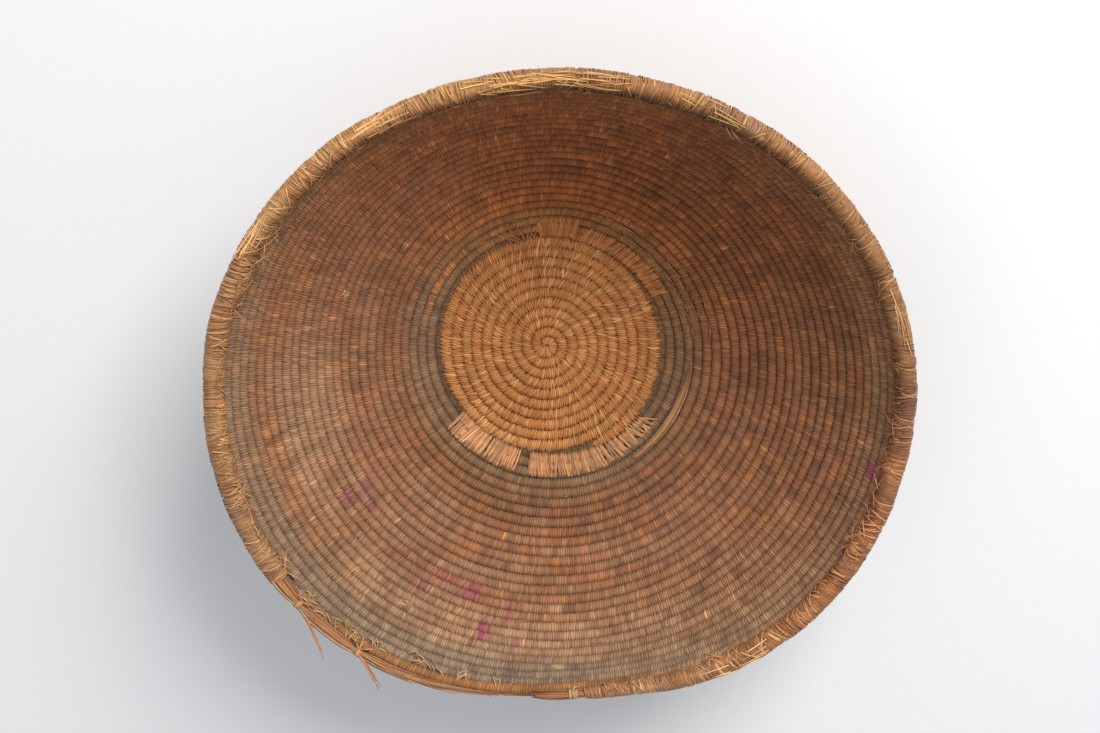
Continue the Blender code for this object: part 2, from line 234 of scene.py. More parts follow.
# ------------------------------------------------------------------ mesh making
RIBBON_ACROSS = np.array([-1.0, -0.55, 0.0, 0.55, 1.0, 0.45, -0.45])
RIBBON_UP = np.array([0.0, 0.75, 1.0, 0.75, 0.0, -0.35, -0.35])
# painted light across a ribbon: lightest on its crown, painted shade at its edges and underneath
RIBBON_LIGHT = np.array([0.62, 0.95, 1.06, 0.95, 0.62, 0.5, 0.5])


class SweptMesh:
    """Collects swept pieces: points, faces, tints and fibre coordinates."""

    def __init__(self):
        self.points, self.quads, self.caps = [], [], []
        self.tints, self.fibres, self.uvs = [], [], []
        self.count = 0

    def sweep(self, rings, tint, fibre, uvs=None):
        """rings (n, m, 3) in mm; closed around, capped at both ends."""
        n, m = rings.shape[:2]
        tint, fibre = (np.broadcast_to(part, (n, m, 3)) for part in (tint, fibre))
        # the faces look outwards: turn the rings round where they run the other way
        middle = rings.mean(1)
        arm = rings - middle[:, None]
        area = np.cross(arm, np.roll(arm, -1, axis=1)).sum(1)
        if (area[:-1] * np.diff(middle, axis=0)).sum() < 0:
            rings, tint, fibre = rings[:, ::-1], tint[:, ::-1], fibre[:, ::-1]
        self.points.append(rings.reshape(-1, 3))
        self.tints.append(tint.reshape(-1, 3))
        self.fibres.append(fibre.reshape(-1, 3))
        ring = np.arange(n - 1)[:, None] * m
        here = np.arange(m)[None]
        beside = (here + 1) % m
        quads = np.stack([ring + here, ring + beside, ring + m + beside, ring + m + here], -1)
        self.quads.append(quads.reshape(-1, 4) + self.count)
        self.caps.append(np.arange(m)[::-1] + self.count)
        self.caps.append(np.arange(m) + self.count + (n - 1) * m)
        if uvs is not None:
            self.uvs.append(uvs)
        self.count += n * m

    def ribbon(self, path, side, up, width, thick, tint, ident, taper=0.15):
        """A thin crowned strip along path (n, 3), width along side, thickness along up."""
        side, up = (np.broadcast_to(part, path.shape)[:, None] for part in (side, up))
        part = np.linspace(0, 1, len(path))
        end = np.minimum(smooth(part, -0.02, taper), smooth(1 - part, -0.02, taper))
        across = RIBBON_ACROSS * (0.5 * width * (0.35 + 0.65 * end))[:, None]
        above = RIBBON_UP * (thick * (0.6 + 0.4 * end))[:, None]
        rings = path[:, None] + across[..., None] * side + above[..., None] * up
        tint = np.broadcast_to(tint, path.shape)[:, None] * RIBBON_LIGHT[None, :, None]
        self.sweep(rings, tint, join(arc_length(path)[:, None], across, ident))

    def straw(self, path, radius, tint, ident, tip, sides=6):
        """A round stem along path, tapering over its second half."""
        tangent = tangents(path)
        upright = abs(tangent[0, 2]) >= 0.9
        aside = unit(np.cross(tangent, [1.0, 0.0, 0.0] if upright else [0.0, 0.0, 1.0]))
        across = np.cross(tangent, aside)
        part = np.linspace(0, 1, len(path))
        radii = radius * np.where(part < 0.5, 1.0, 1.0 - (1 - tip) * (part - 0.5) / 0.5)
        angle = TAU * np.arange(sides) / sides
        rings = path[:, None] + radii[:, None, None] * (
            np.cos(angle)[None, :, None] * aside[:, None]
            + np.sin(angle)[None, :, None] * across[:, None]
        )
        tint = np.broadcast_to(tint, path.shape)[:, None]
        self.sweep(rings, tint, join(arc_length(path)[:, None], (angle * radius)[None], ident))

    def random_straw(self, rng, path, radii, tones, light, ident, tip, sides=6):
        """A straw with radius and lightness drawn from ranges; a pair of tones is blended."""
        if isinstance(tones, tuple):
            tones = mix(*tones, rng.random())
        self.straw(path, rng.uniform(*radii), tones * rng.uniform(*light), ident, tip, sides)

    def build(self, name, mat, node=None, slot=None):
        """Makes the object, in place of a CAD node or as an extra; slot is not used."""
        quads = np.concatenate(self.quads)
        mesh = bpy.data.meshes.new(name)
        mesh.vertices.add(self.count)
        points = np.concatenate(self.points) * MM
        mesh.vertices.foreach_set("co", points.astype(np.float32).ravel())
        corner = np.concatenate([quads.ravel()] + self.caps)
        sizes = np.concatenate([np.full(len(quads), 4), [len(cap) for cap in self.caps]])
        mesh.loops.add(len(corner))
        mesh.loops.foreach_set("vertex_index", corner.astype(np.int32))
        mesh.polygons.add(len(sizes))
        start = np.concatenate([[0], np.cumsum(sizes)[:-1]])
        mesh.polygons.foreach_set("loop_start", start.astype(np.int32))
        mesh.polygons.foreach_set("use_smooth", np.ones(len(sizes), bool))
        mesh.update(calc_edges=True)
        tint = np.concatenate(self.tints)
        rgba = np.concatenate([tint, np.ones((len(tint), 1))], 1)
        for key, kind, field, values in (
            ("tint", "FLOAT_COLOR", "color", rgba),
            ("fib", "FLOAT_VECTOR", "vector", np.concatenate(self.fibres)),
        ):
            attribute = mesh.attributes.new(key, kind, "POINT")
            attribute.data.foreach_set(field, values.astype(np.float32).ravel())
        if self.uvs:
            layer = mesh.uv_layers.new(name="OFBake")
            cap_uvs = np.zeros((sum(len(cap) for cap in self.caps), 2))
            cap_uvs[:, 0] = 0.999
            uvs = np.concatenate(self.uvs + [cap_uvs])
            layer.data.foreach_set("uv", uvs.astype(np.float32).ravel())
        mesh.materials.append(mat)
        obj = bpy.data.objects.new(name, mesh)
        bpy.context.scene.collection.objects.link(obj)
        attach(obj, "root")
        if node:
            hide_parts(node)


def strip_uv(dist, sides, rows):
    """Per-corner UVs of a long tube cut into rows that fill the square."""
    place = (dist - dist[0]) / (dist[-1] - dist[0]) * rows
    row = np.minimum(np.floor(0.5 * (place[1:] + place[:-1])), rows - 1)
    pad = 0.012
    left = pad + (1 - 2 * pad) * np.clip(place[:-1] - row, -0.01, 1.01)
    right = pad + (1 - 2 * pad) * np.clip(place[1:] - row, -0.01, 1.01)
    side = np.arange(sides)
    low = (row[:, None] + 0.06 + 0.88 * side[None] / sides) / rows
    high = (row[:, None] + 0.06 + 0.88 * (side[None] + 1) / sides) / rows
    left, right = left[:, None], right[:, None]
    corners = [join(left, low), join(left, high), join(right, high), join(right, low)]
    return np.stack(corners, 2).reshape(-1, 2)


# ------------------------------------------------------------------ materials
def fill(tree, node, inputs):
    """Sets each input to a value, or links it where an output socket is given."""
    for key, value in inputs.items():
        if isinstance(value, bpy.types.NodeSocket):
            tree.links.new(value, node.inputs[key])
        else:
            node.inputs[key].default_value = value


def add_node(tree, kind, inputs, operation=None):
    node = tree.nodes.new("ShaderNode" + kind)
    if operation:
        node.operation = operation
    fill(tree, node, inputs)
    return node


def straw_material(name, dark, bright, streak, rough, bump, spec, sheen=0.08):
    """Fibrous straw: dark and bright scale the tint, rough is (bright, dark) fibres."""
    mat = bpy.data.materials.new(name)
    mat.use_nodes = True
    tree = mat.node_tree
    tree.nodes.clear()

    def attribute(key, output):
        node = add_node(tree, "Attribute", {})
        node.attribute_name = key
        return node.outputs[output]

    def noise(vector, scale, detail, **more):
        inputs = {"Vector": vector, "Scale": scale, "Detail": detail, **more}
        return add_node(tree, "TexNoise", inputs).outputs["Fac"]

    def remap(value, low, high, to_low, to_high):
        inputs = {"Value": value, "From Min": low, "From Max": high,
                  "To Min": to_low, "To Max": to_high}
        return add_node(tree, "MapRange", inputs).outputs[0]

    tint = attribute("tint", "Color")
    # fibres: long along the strip, a few tenths of a millimetre across
    stretch = {"Vector": attribute("fib", "Vector"), "Scale": (0.16, streak, 5.3)}
    mapping = add_node(tree, "Mapping", stretch)
    fibres = noise(mapping.outputs[0], scale=1.0, detail=3.0, Roughness=0.62)
    value = remap(fibres, 0.3, 0.7, dark, bright)
    # grime and wear: blotches in the object's space
    place = add_node(tree, "TexCoord", {}).outputs["Object"]
    place_gain = remap(noise(place, scale=38.0, detail=4.0), 0.32, 0.68, 0.9, 1.1)
    both = add_node(tree, "Math", {0: value, 1: place_gain}, "MULTIPLY")
    scaled = {0: tint, "Scale": both.outputs[0]}
    colour = add_node(tree, "VectorMath", scaled, "SCALE")
    # worn fibres catch more light than dusty ones
    roughness = remap(fibres, 0.3, 0.7, rough[1], rough[0])
    speck = noise(place, scale=1400.0, detail=2.0)
    height = add_node(tree, "Math", {0: speck, 1: 0.35, 2: fibres}, "MULTIPLY_ADD")
    relief = {"Strength": bump, "Distance": 0.0004, "Height": height.outputs[0]}
    bsdf = add_node(tree, "BsdfPrincipled", {
        "Base Color": colour.outputs[0],
        "Roughness": roughness,
        "Normal": add_node(tree, "Bump", relief).outputs[0],
        "Specular IOR Level": spec,
        "Sheen Weight": sheen,
        "Sheen Roughness": 0.5,
    })
    add_node(tree, "OutputMaterial", {0: bsdf.outputs[0]})
    return mat


MAT_WALL = straw_material("aged_wall_stitches", dark=0.66, bright=1.24, streak=2.4,
                          rough=(0.6, 0.88), bump=0.45, spec=0.25, sheen=0.1)
MAT_BASE = straw_material("base_stitches", dark=0.66, bright=1.26, streak=2.2,
                          rough=(0.48, 0.8), bump=0.5, spec=0.34)
MAT_RIM = straw_material("rim_strips_dry", dark=0.6, bright=1.3, streak=1.9,
                         rough=(0.36, 0.72), bump=0.55, spec=0.45)
MAT_LASH = straw_material("lashing_strips_dry", dark=0.62, bright=1.26, streak=1.8,
                          rough=(0.42, 0.76), bump=0.5, spec=0.4)
MAT_BARE = straw_material("bare_stems", dark=0.64, bright=1.26, streak=2.4,
                          rough=(0.34, 0.66), bump=0.4, spec=0.45)

# ------------------------------------------------------------------ tones (linear RGB)
# wall: painted light on the lower side, painted shade on the upper side, dusty rounds in a lit and a
# shaded tone, stains
LOWER_LIT = np.array([0.400, 0.218, 0.118])
UPPER_SHADED = np.array([0.300, 0.122, 0.046])
DUST_LIT = np.array([0.330, 0.222, 0.145])
DUST_SHADED = np.array([0.245, 0.140, 0.072])
RUST = np.array([0.330, 0.125, 0.058])
ORANGE = np.array([0.500, 0.215, 0.070])
WORN = np.array([0.520, 0.345, 0.180])
PLUM = np.array([0.215, 0.095, 0.066])
PINK = np.array([0.330, 0.040, 0.130])
BEIGE = np.array([0.470, 0.318, 0.196])
# base disc
BASE_GOLD = np.array([0.620, 0.262, 0.080])
BASE_RUST = np.array([0.370, 0.118, 0.034])
BASE_PALE = np.array([0.780, 0.440, 0.185])
BASE_CURL = np.array([0.60, 0.27, 0.09])
# rim and bare straw
GOLD = np.array([0.500, 0.252, 0.098])
AMBER = np.array([0.390, 0.158, 0.050])
UMBER = np.array([0.190, 0.082, 0.034])
STRAW_PALE = np.array([0.760, 0.500, 0.235])
PALE_GOLD = np.array([0.720, 0.420, 0.170])
RUSSET = np.array([0.460, 0.200, 0.085])
RIM_PLUM = np.array([0.260, 0.120, 0.068])
GREY_BROWN = np.array([0.30, 0.20, 0.115])
# lashings
BRIGHT = np.array([0.500, 0.170, 0.042])
COPPER = np.array([0.400, 0.150, 0.046])
BLUSH = np.array([0.520, 0.262, 0.108])
CLAY = np.array([0.410, 0.172, 0.070])

mottle_wide, mottle_mid, mottle_fine = lattice(21, 30, 30), lattice(22, 30, 90), lattice(23, 30, 240)
streaks = lattice(24, 3, 200)
grey_zone = lattice(25, 8, 9)

# faded magenta dye marks: (level, degrees, reach in rounds, reach in degrees, strength)
STAINS = (
    (14.8, 214.0, 1.0, 2.2, 0.75), (12.6, 216.0, 0.8, 2.6, 0.5), (13.2, 220.0, 0.6, 1.6, 0.4),
    (16.8, 241.0, 1.1, 1.6, 0.45), (14.5, 245.5, 0.9, 2.6, 0.4), (15.0, 252.0, 1.0, 2.8, 0.65),
    (18.5, 257.0, 1.3, 1.3, 0.9), (15.7, 261.5, 0.8, 1.1, 0.45), (19.4, 264.0, 0.7, 1.2, 0.6),
    (24.2, 344.5, 0.8, 1.6, 0.9), (17.6, 262.0, 0.5, 2.0, 0.3), (11.0, 214.0, 1.2, 3.0, 0.25),
)


def wall_colour(level, phi, rand, rand2):
    """Tint of a stitch: zones of the bowl, painted light and shade by direction, mottling, worn
    patches, stains.
    """
    # painted shade, darkest towards 62 degrees on the upper side, with painted light opposite
    shade = 0.5 + 0.5 * np.cos(phi - math.radians(62.0))
    tone = mix(LOWER_LIT, UPPER_SHADED, np.clip(shade * 1.1 - 0.05, 0, 1))
    dust_and_shade_tone = mix(DUST_LIT, DUST_SHADED, shade)
    wide, medium, fine = (mottle(level, phi) for mottle in (mottle_wide, mottle_mid, mottle_fine))
    foot = 1 - smooth(level, 1.8, 4.2)
    rimward = smooth(level + 1.2 * wide, 20.8, 23.6) * (0.45 + 0.55 * around(phi, 235, 130))
    dust = 0.75 * foot + 0.85 * rimward + 0.35 * np.clip(grey_zone(level, phi), 0, 1)
    tone = mix(tone, dust_and_shade_tone, np.clip(dust * (0.8 + 0.4 * rand), 0, 1))
    middle = smooth(level, 2.5, 5.5) * (1 - 0.8 * smooth(level, 19.5, 23.0))
    rust = middle * (0.34 + 0.45 * wide + 0.34 * medium + 0.14 * fine)
    tone = mix(tone, RUST, np.clip(rust, 0, 0.75))
    plum = smooth(-medium - 0.35 * fine + 0.2 * (rand - 0.5), 0.35, 1.2)
    tone = mix(tone, PLUM, middle * plum * 0.6)
    glow = smooth(medium + 0.45 * fine + 0.42 * (rand2 - 0.5), 0.25, 1.25)
    tone = mix(tone, ORANGE * 0.9, glow * (0.22 + 0.42 * middle))
    low = around(phi, 255, 100) * smooth(level, 8, 16)
    worn = 0.6 * fine - 0.35 * medium + 0.3 * wide + 0.45 * (rand - 0.5) + 0.35 * low
    tone = mix(tone, WORN * 0.9, smooth(worn, 0.35, 1.25) * (0.15 + 0.5 * low))
    beige = smooth(level, 15.5, 18.5) * around(phi, 265, 80)
    left_band = smooth(level, 10.5, 14.0) * (1 - smooth(level, 17.5, 20.5))
    beige = beige + 0.9 * around(phi, 190, 30) * left_band
    tone = mix(tone, BEIGE, np.clip(beige * (0.42 + 0.35 * medium + 0.2 * fine), 0, 0.75))
    # the last round, bare of dust where the roll is lost, is still orange
    last = smooth(level, 24.75, 24.85) * around(phi, 258, 42)
    tone = mix(tone, ORANGE * 0.82, np.clip(3 * last, 0, 0.9))
    # a line of newer, paler stitches near the disc
    newer = (np.abs(level - 1.55) < 0.5) * around(phi, 147, 24) * (rand2 > 0.35)
    tone = mix(tone, ORANGE * 1.25, np.clip(1.6 * newer, 0, 0.85))
    for stain_level, stain_deg, rounds, degrees, strength in STAINS:
        turned = (np.degrees(phi) - stain_deg + 180) % 360 - 180
        away = ((level - stain_level) / rounds) ** 2 + (turned / degrees) ** 2
        patchy = 0.35 + 0.65 * smooth(rand2 + 0.4 * fine, 0.1, 0.8)
        tone = mix(tone, PINK, strength * np.clip(1.5 - away, 0, 1) * patchy)
    light = 1 + 0.08 * fine + 0.08 * medium + 0.09 * streaks(level, phi)
    light = (0.80 + 0.42 * rand) * light
    # painted shade: straw on the shaded upper side is made a deeper brown-orange
    shade_warmth = around(phi, 80, 100)
    hue = np.stack([1.0 + 0.04 * shade_warmth, 0.94 - 0.13 * shade_warmth, 0.86 - 0.30 * shade_warmth], -1)
    # the foot is darker on the lower side and lighter on the upper side
    low_foot = (1 - smooth(level, 4.5, 9.0)) * around(phi, 250, 120)
    high_foot = (1 - smooth(level, 4.5, 9.0)) * around(phi, 75, 90)
    foot_gain = join(
        1 - 0.26 * low_foot + 0.28 * high_foot,
        1 - 0.32 * low_foot + 0.26 * high_foot,
        1 - 0.42 * low_foot,
    )
    # painted light around 115 degrees, easing the painted shade of the upper side
    upper_left_light = 1 + 0.25 * around(phi, 115, 45)
    # greyer below near the roll, paler on the right of it
    low_rim = smooth(level, 19.0, 22.5) * (1 - last) * around(phi, 255, 75)
    right_rim = smooth(level, 21.0, 23.0) * around(phi, 12, 45)
    rim_gain = join(
        1 - 0.24 * low_rim + 0.20 * right_rim,
        1 - 0.17 * low_rim + 0.30 * right_rim,
        1 - 0.06 * low_rim + 0.36 * right_rim,
    )
    fleck = 1 + 0.55 * (rand2 > 0.996)
    return tone * hue * foot_gain * rim_gain * (light * upper_left_light * fleck)[..., None]


def wall_tint(turn, phi, rand, rand2):
    return wall_colour(turn + 0.5, phi, rand, rand2)


def base_colour(turn, phi, rand, rand2):
    rust = 0.38 + 0.30 * mottle_mid(turn * 2.3, phi) + 0.16 * mottle_fine(turn * 2.0, phi + 1.0)
    tone = mix(BASE_GOLD, BASE_RUST, np.clip(rust + 0.75 * (rand - 0.5), 0, 0.9))
    pale = 0.62 * smooth(rand2, 0.55, 1.0) * (0.75 + 0.35 * mottle_mid(turn * 2.0, phi + 2.0))
    pale = pale + 0.3 * around(phi, 250, 90) * smooth(turn, 7.5, 10.0) * (rand > 0.4)
    tone = mix(tone, BASE_PALE, np.clip(pale, 0, 0.85))
    return tone * (0.73 + 0.58 * rand)[..., None] * np.array([1.05, 1.02, 0.90])


# ------------------------------------------------------------------ stitched coil
COIL_SIDES = 12
# stations across one stitch and their relief
COIL_STATIONS = np.array([0.0, 0.17, 0.5, 0.83]), np.array([0.0, 0.82, 1.0, 0.82])
RIM_STATIONS = np.array([0.0, 0.16, 0.5, 0.84]), np.array([0.0, 0.85, 1.0, 0.85])


def half_step_angles(sides):
    return TAU * (np.arange(sides) + 0.5) / sides


def stitch_ends(total, pitch, seed, jitter=0.2):
    rng = np.random.default_rng(seed)
    count = int(total / pitch) + 2
    widths = pitch * (1 + jitter * rng.uniform(-1, 1, count))
    # here and there a worn stitch leaves a wider one beside it
    widths[rng.random(count) > 0.94] *= 1.35
    ends = np.concatenate([[0], np.cumsum(widths)])
    return np.concatenate([ends[ends < total - 0.6 * pitch], [total]])


def stitch_stations(ends, stations):
    """Distance, stitch number and relief at each station along the coil."""
    samples, heights = stations
    count = len(ends) - 1
    dist = (ends[:-1, None] + np.diff(ends)[:, None] * samples).ravel()
    stitch = np.repeat(np.arange(count), len(samples))
    return (
        np.append(dist, ends[-1]), np.append(stitch, count - 1),
        np.append(np.tile(heights, count), 0.0),
    )


def rings_on(point, rise, face, out_rise, out_face):
    return (
        point[:, None] + out_rise[..., None] * rise[:, None] + out_face[..., None] * face[:, None]
    )


def stitched_coil(points_of, turns, pitch, seed, colour_of, relief, half_width, half_height, rows,
                  taper=(0.0, 0.0), slant=0.1, stitch_gap_shade=0.42, round_shade=0.5, reach=(0.15, 0.03),
                  width_of=None, uneven=0.16, loose=0.07, upper=0.0):
    """One length of wrapped coil between two turns.

    taper: lengths over which its ends narrow. reach: how far stitches overlap the rounds inside
    and outside. uneven, loose: spread of stitch heights and slants. upper: gain of shade on +Y.
    """
    fine = np.linspace(*turns, max(60, int((turns[1] - turns[0]) * 360)))
    length = arc_length(points_of(fine)[0])
    ends = stitch_ends(length[-1], pitch, seed)
    count = len(ends) - 1
    dist, stitch, height = stitch_stations(ends, COIL_STATIONS)
    turn = np.interp(dist, length, fine)
    point, rise, face, phi = points_of(turn)
    along = unit(np.cross(rise, face))
    rng = np.random.default_rng(seed + 1)
    rand, rand2 = rng.random(count), rng.random(count)
    tall = relief * (0.7 + 0.6 * rng.random(count))
    lean = slant + loose * rng.standard_normal(count)
    lift = uneven * rng.standard_normal(count)
    slow = 0.22 * line_noise(dist, seed + 2, 9.0) + 0.25 * line_noise(dist, seed + 3, 41.0)
    # a stitch reaches over the round below it by its own amount
    reach_in = 1 + reach[0] * rng.random(count) ** 1.5
    reach_out = 1 + reach[1] * rng.random(count)
    angle = half_step_angles(COIL_SIDES)
    cos = np.cos(angle)[None]
    groove = (height == 0)[:, None]
    grow = (height * tall[stitch] + lift[stitch] * (height > 0) + slow)[:, None]
    # the relief fades where the coil is held between its neighbours
    side = 1 - 0.72 * np.abs(cos) ** 2
    size = np.ones(len(dist))
    for from_end, fade in zip((dist, dist[-1] - dist), taper):
        if fade:
            size *= smooth(from_end, -0.25 * fade, fade)
    scale = (1.0 + grow * side / half_height) * size[:, None]
    overlap = np.where(cos < 0, reach_in[stitch][:, None], reach_out[stitch][:, None])
    out_rise = half_width * cos * scale * np.where(groove, 1.0, overlap)
    out_face = half_height * np.sin(angle)[None] * scale
    if width_of is not None:
        out_rise = out_rise * width_of(turn)[:, None]
    tilt = lean[stitch][:, None] * out_rise
    rings = rings_on(point, rise, face, out_rise, out_face) + tilt[..., None] * along[:, None]
    # painted shade in the gaps between stitches and between the rounds; on the upper side the stitch
    # gaps are lighter and the gaps between rounds darker
    top = (upper * around(phi, 85, 95))[:, None]
    shade = np.where(groove, stitch_gap_shade + 0.2 * top, 1.0)
    pit = 1 - round_shade * (1 + 0.5 * top) * np.abs(cos) ** 3
    tint = colour_of(turn, phi, rand[stitch], rand2[stitch])[:, None] * (shade * pit)[..., None]
    fibre = join((angle * half_height)[None], dist[:, None], rand[stitch][:, None] * 40)
    mesh = SweptMesh()
    mesh.sweep(rings, tint, fibre, strip_uv(dist, COIL_SIDES, rows))
    return mesh


def wall_rounds():
    names = sorted(name for name in NODES if name.startswith("wall_coil_round_"))
    for i, node in enumerate(names):
        start = WALL_START + i
        last = i == len(names) - 1
        mesh = stitched_coil(
            wall_points, (start, WALL_END if last else start + 1 + 0.002), pitch=2.35,
            seed=1000 + 10 * i, colour_of=wall_tint, relief=0.62, half_width=5.35,
            half_height=5.0, rows=5 if i < 12 else 7,
            taper=(14.0 if i == 0 else 0.0, 5.0 if last else 0.0),
            stitch_gap_shade=0.34, round_shade=0.42, uneven=0.2, upper=1.0,
        )
        mesh.build("wall_round_%02d_stitched" % (i + 1), MAT_WALL, node)


def base_rounds():
    names = sorted(name for name in NODES if name.startswith("base_coil_round_"))
    for i, node in enumerate(names):
        last = i == len(names) - 1
        end = min(2.0 + i, BASE_TURNS) + (0 if last else 0.004)
        mesh = stitched_coil(
            base_points, (1.0 + i, end), pitch=2.1, seed=3000 + 10 * i,
            colour_of=base_colour, relief=0.9, half_width=5.2, half_height=4.6,
            rows=2 if i < 3 else 4, taper=(0.0, 15.0 if last else 0.0), slant=0.2,
            stitch_gap_shade=0.32, round_shade=0.34, reach=(0.5, 0.14 if i < 8 else 0.4),
            uneven=0.34, loose=0.14,
        )
        mesh.build("base_round_%02d_stitched" % (i + 1), MAT_BASE, node)


# ---- round lying low in the groove between disc and wall
JOIN_HALF_WIDTH = 4.3


def joining_gap(turn):
    """Direction and the radii of the groove's two sides; turn runs 0..1 around the disc."""
    phi = math.radians(456.0) - TAU * turn
    inner = plan_radius(base_points(outermost_turn(phi))[0]) + 4.6
    wall_turn = 0.5 - phi / TAU
    wall_turn = wall_turn - np.floor(wall_turn - WALL_START)
    outer = plan_radius(wall_points(wall_turn)[0]) - 4.4
    return phi, inner, outer


def joining_points(turn):
    phi, inner, outer = joining_gap(turn)
    window = np.hanning(31)
    padded = np.pad(0.5 * (inner + outer), 15, mode="edge")
    middle = np.convolve(padded, window / window.sum(), "valid")
    return (*slope_frame(middle, 3.7, 0 * phi, phi), phi)


def joining_width(turn):
    _, inner, outer = joining_gap(turn)
    return np.maximum(3.0, 0.5 * (outer - inner) + 2.6) / JOIN_HALF_WIDTH


def joining_tint(turn, phi, rand, rand2):
    # painted shade: the round lying low between disc and wall is darkened to 0.6
    tone = wall_colour(1.0 + 0 * turn, phi, rand, rand2) * 0.6
    return mix(tone, ORANGE * 0.8, 0.45 * smooth(rand2, 0.55, 0.8) * around(phi, 20, 60))


def joining_round():
    mesh = stitched_coil(
        joining_points, (0.0, 1.0), pitch=2.3, seed=5000, colour_of=joining_tint, relief=0.35,
        half_width=JOIN_HALF_WIDTH, half_height=3.5, rows=4, taper=(4, 4),
        width_of=joining_width,
    )
    mesh.build("base_joining_round_stitched", MAT_WALL, "base_joining_round")


def start_curl():
    """The curled start of the spiral."""
    mesh = SweptMesh()
    turn = np.linspace(0.10, 1.02, 96)
    point, rise, face, phi = base_points(turn)
    radius = plan_radius(point)
    rng = np.random.default_rng(77)
    angle = half_step_angles(COIL_SIDES)
    cos = np.cos(angle)[None]
    count = 26
    stitch = np.arange(len(turn)) * count / len(turn)
    ids = np.floor(stitch).astype(int)
    part = stitch - ids
    scale = 1 + 0.066 * np.sin(np.pi * part)[:, None] ** 0.6
    out_rise = cos * np.where(cos > 0, 5.2, np.minimum(5.2, radius + 1.4)[:, None])
    out_face = np.sin(angle)[None] * (3.6 + 0.9 * smooth(turn, 0.2, 0.8))[:, None]
    rings = rings_on(point, rise, face, out_rise * scale, out_face * scale)
    rand, rand2 = rng.random(count + 1), rng.random(count + 1)
    # painted shade in the gap at the start of each stitch
    tint = base_colour(turn, phi, rand[ids], rand2[ids]) * (0.35 + 0.65 * (part > 0.14))[:, None]
    fibre = join((angle * 4.5)[None], (radius * 0.6)[:, None], rand[ids][:, None] * 40)
    mesh.sweep(rings, tint[:, None], fibre)
    # the first few stems stand up in the middle
    part = np.linspace(0, 1, 8)
    for k in range(14):
        heading = TAU * k / 14 + rng.uniform(-0.2, 0.2)
        away = 0.6 + 2.6 * math.sqrt(rng.random())
        z = 3.0 + (6.0 - 0.4 * away) * np.sin(0.6 + 1.3 * part) - 2.4 * part
        path = polar(away + 1.6 * part, heading + 0.9 * part, z)
        light = 0.6 + 0.7 * rng.random()
        mesh.straw(path, rng.uniform(0.7, 1.1), BASE_CURL * light, 700 + k, tip=0.6)
    mesh.build("base_start_curl", MAT_BASE, "base_start_knot")


wall_rounds()
base_rounds()
joining_round()
start_curl()


# ------------------------------------------------------------------ rim roll
def rim_radius(turn):
    thin = np.clip((turn - RIM_FULL_END) / (RIM_THIN_END - RIM_FULL_END), 0, 1)
    return RIM_RADIUS * (1 - 0.45 * thin)


def rim_frame(turn):
    """Frame of the roll's axis; the roll runs from RIM_START against phi."""
    phi = RIM_START - TAU * turn
    level = 25.93 + 0.95 * turn - (RIM_RADIUS - rim_radius(turn)) / PITCH
    level = level + 0.05 * np.maximum(0, turn - 0.6)
    radius, z = section(level, phi)
    ripple = 0.7 * np.sin(9 * phi + 0.4) + 0.5 * np.sin(17 * phi + 2.0) + 0.3 * np.sin(31 * phi)
    z = z + 0.4 * np.sin(11 * phi + 1.3)
    return (*slope_frame(radius + 0.5 * ripple, z, slope(level, phi), phi), phi)


ROLL_TURNS = np.linspace(-0.02, 0.9, 4000)
ROLL_DISTS = arc_length(rim_frame(ROLL_TURNS)[0])


def rim_turn_at(dist):
    return np.interp(dist, ROLL_DISTS, ROLL_TURNS)


def rim_dist_at(turn):
    return np.interp(turn, ROLL_TURNS, ROLL_DISTS)


def rim_phi_at(dist):
    return RIM_START - TAU * rim_turn_at(dist)


def rim_turn_of(phi):
    return ((RIM_START - phi) / TAU) % 1.0


# painted light and shade on the roll's straw, every 30 degrees: darkest on the upper side
RIM_SHADE = np.array([0.64, 0.60, 0.45, 0.46, 0.62, 0.83, 0.98, 0.94, 1.0, 1.0, 1.06, 0.90, 0.64])
# how far the crest is made pale, partly sun bleaching and partly painted light, and the bowl side
# given painted shade, every 30 degrees
BLEACH_AND_LIGHT = np.array([0.15, 0.32, 1.0, 1.0, 0.92, 0.44, 0.0, 0.05, 0.0, 0.0, 0.0, 0.0, 0.15])
rim_short, rim_long = lattice(41, 2, 70), lattice(42, 2, 26)


def every_30(phi, table):
    return np.interp(np.degrees(phi) % 360.0, np.arange(13) * 30.0, table)


def rim_shade_and_hue(phi):
    """Gain of the roll's straw by direction: painted shade, darkest and deepest on the upper side,
    and redder low on the right.
    """
    place_gain = every_30(phi, RIM_SHADE)
    shade_warmth = around(phi, 80, 125)
    red = around(phi, 338, 32)
    return np.stack([
        place_gain * (1 + 0.05 * shade_warmth) * (1 + 0.12 * red),
        place_gain * (1 - 0.15 * shade_warmth) * (1 - 0.12 * red),
        place_gain * (1 - 0.45 * shade_warmth) * (1 - 0.25 * red),
    ], -1)


def bleach_and_light(phi, theta):
    """Gain of the roll's straw: pale along the outer crest, partly sun bleaching and partly painted
    light; painted shade on the side facing the bowl.
    """
    theta = (theta + math.pi) % TAU - math.pi
    out = (1 - smooth(theta, 0.1, 1.6)) * (1 - smooth(-theta, 2.3, 3.1))
    pale = np.stack([1 + 0 * out, 1 + 0.36 * out, 1 + 0.80 * out], -1)
    gain = every_30(phi, BLEACH_AND_LIGHT) * (1.36 * out - 0.45 + 0.45 * smooth(theta, 1.6, 2.2))
    return 1 + gain[..., None] * pale


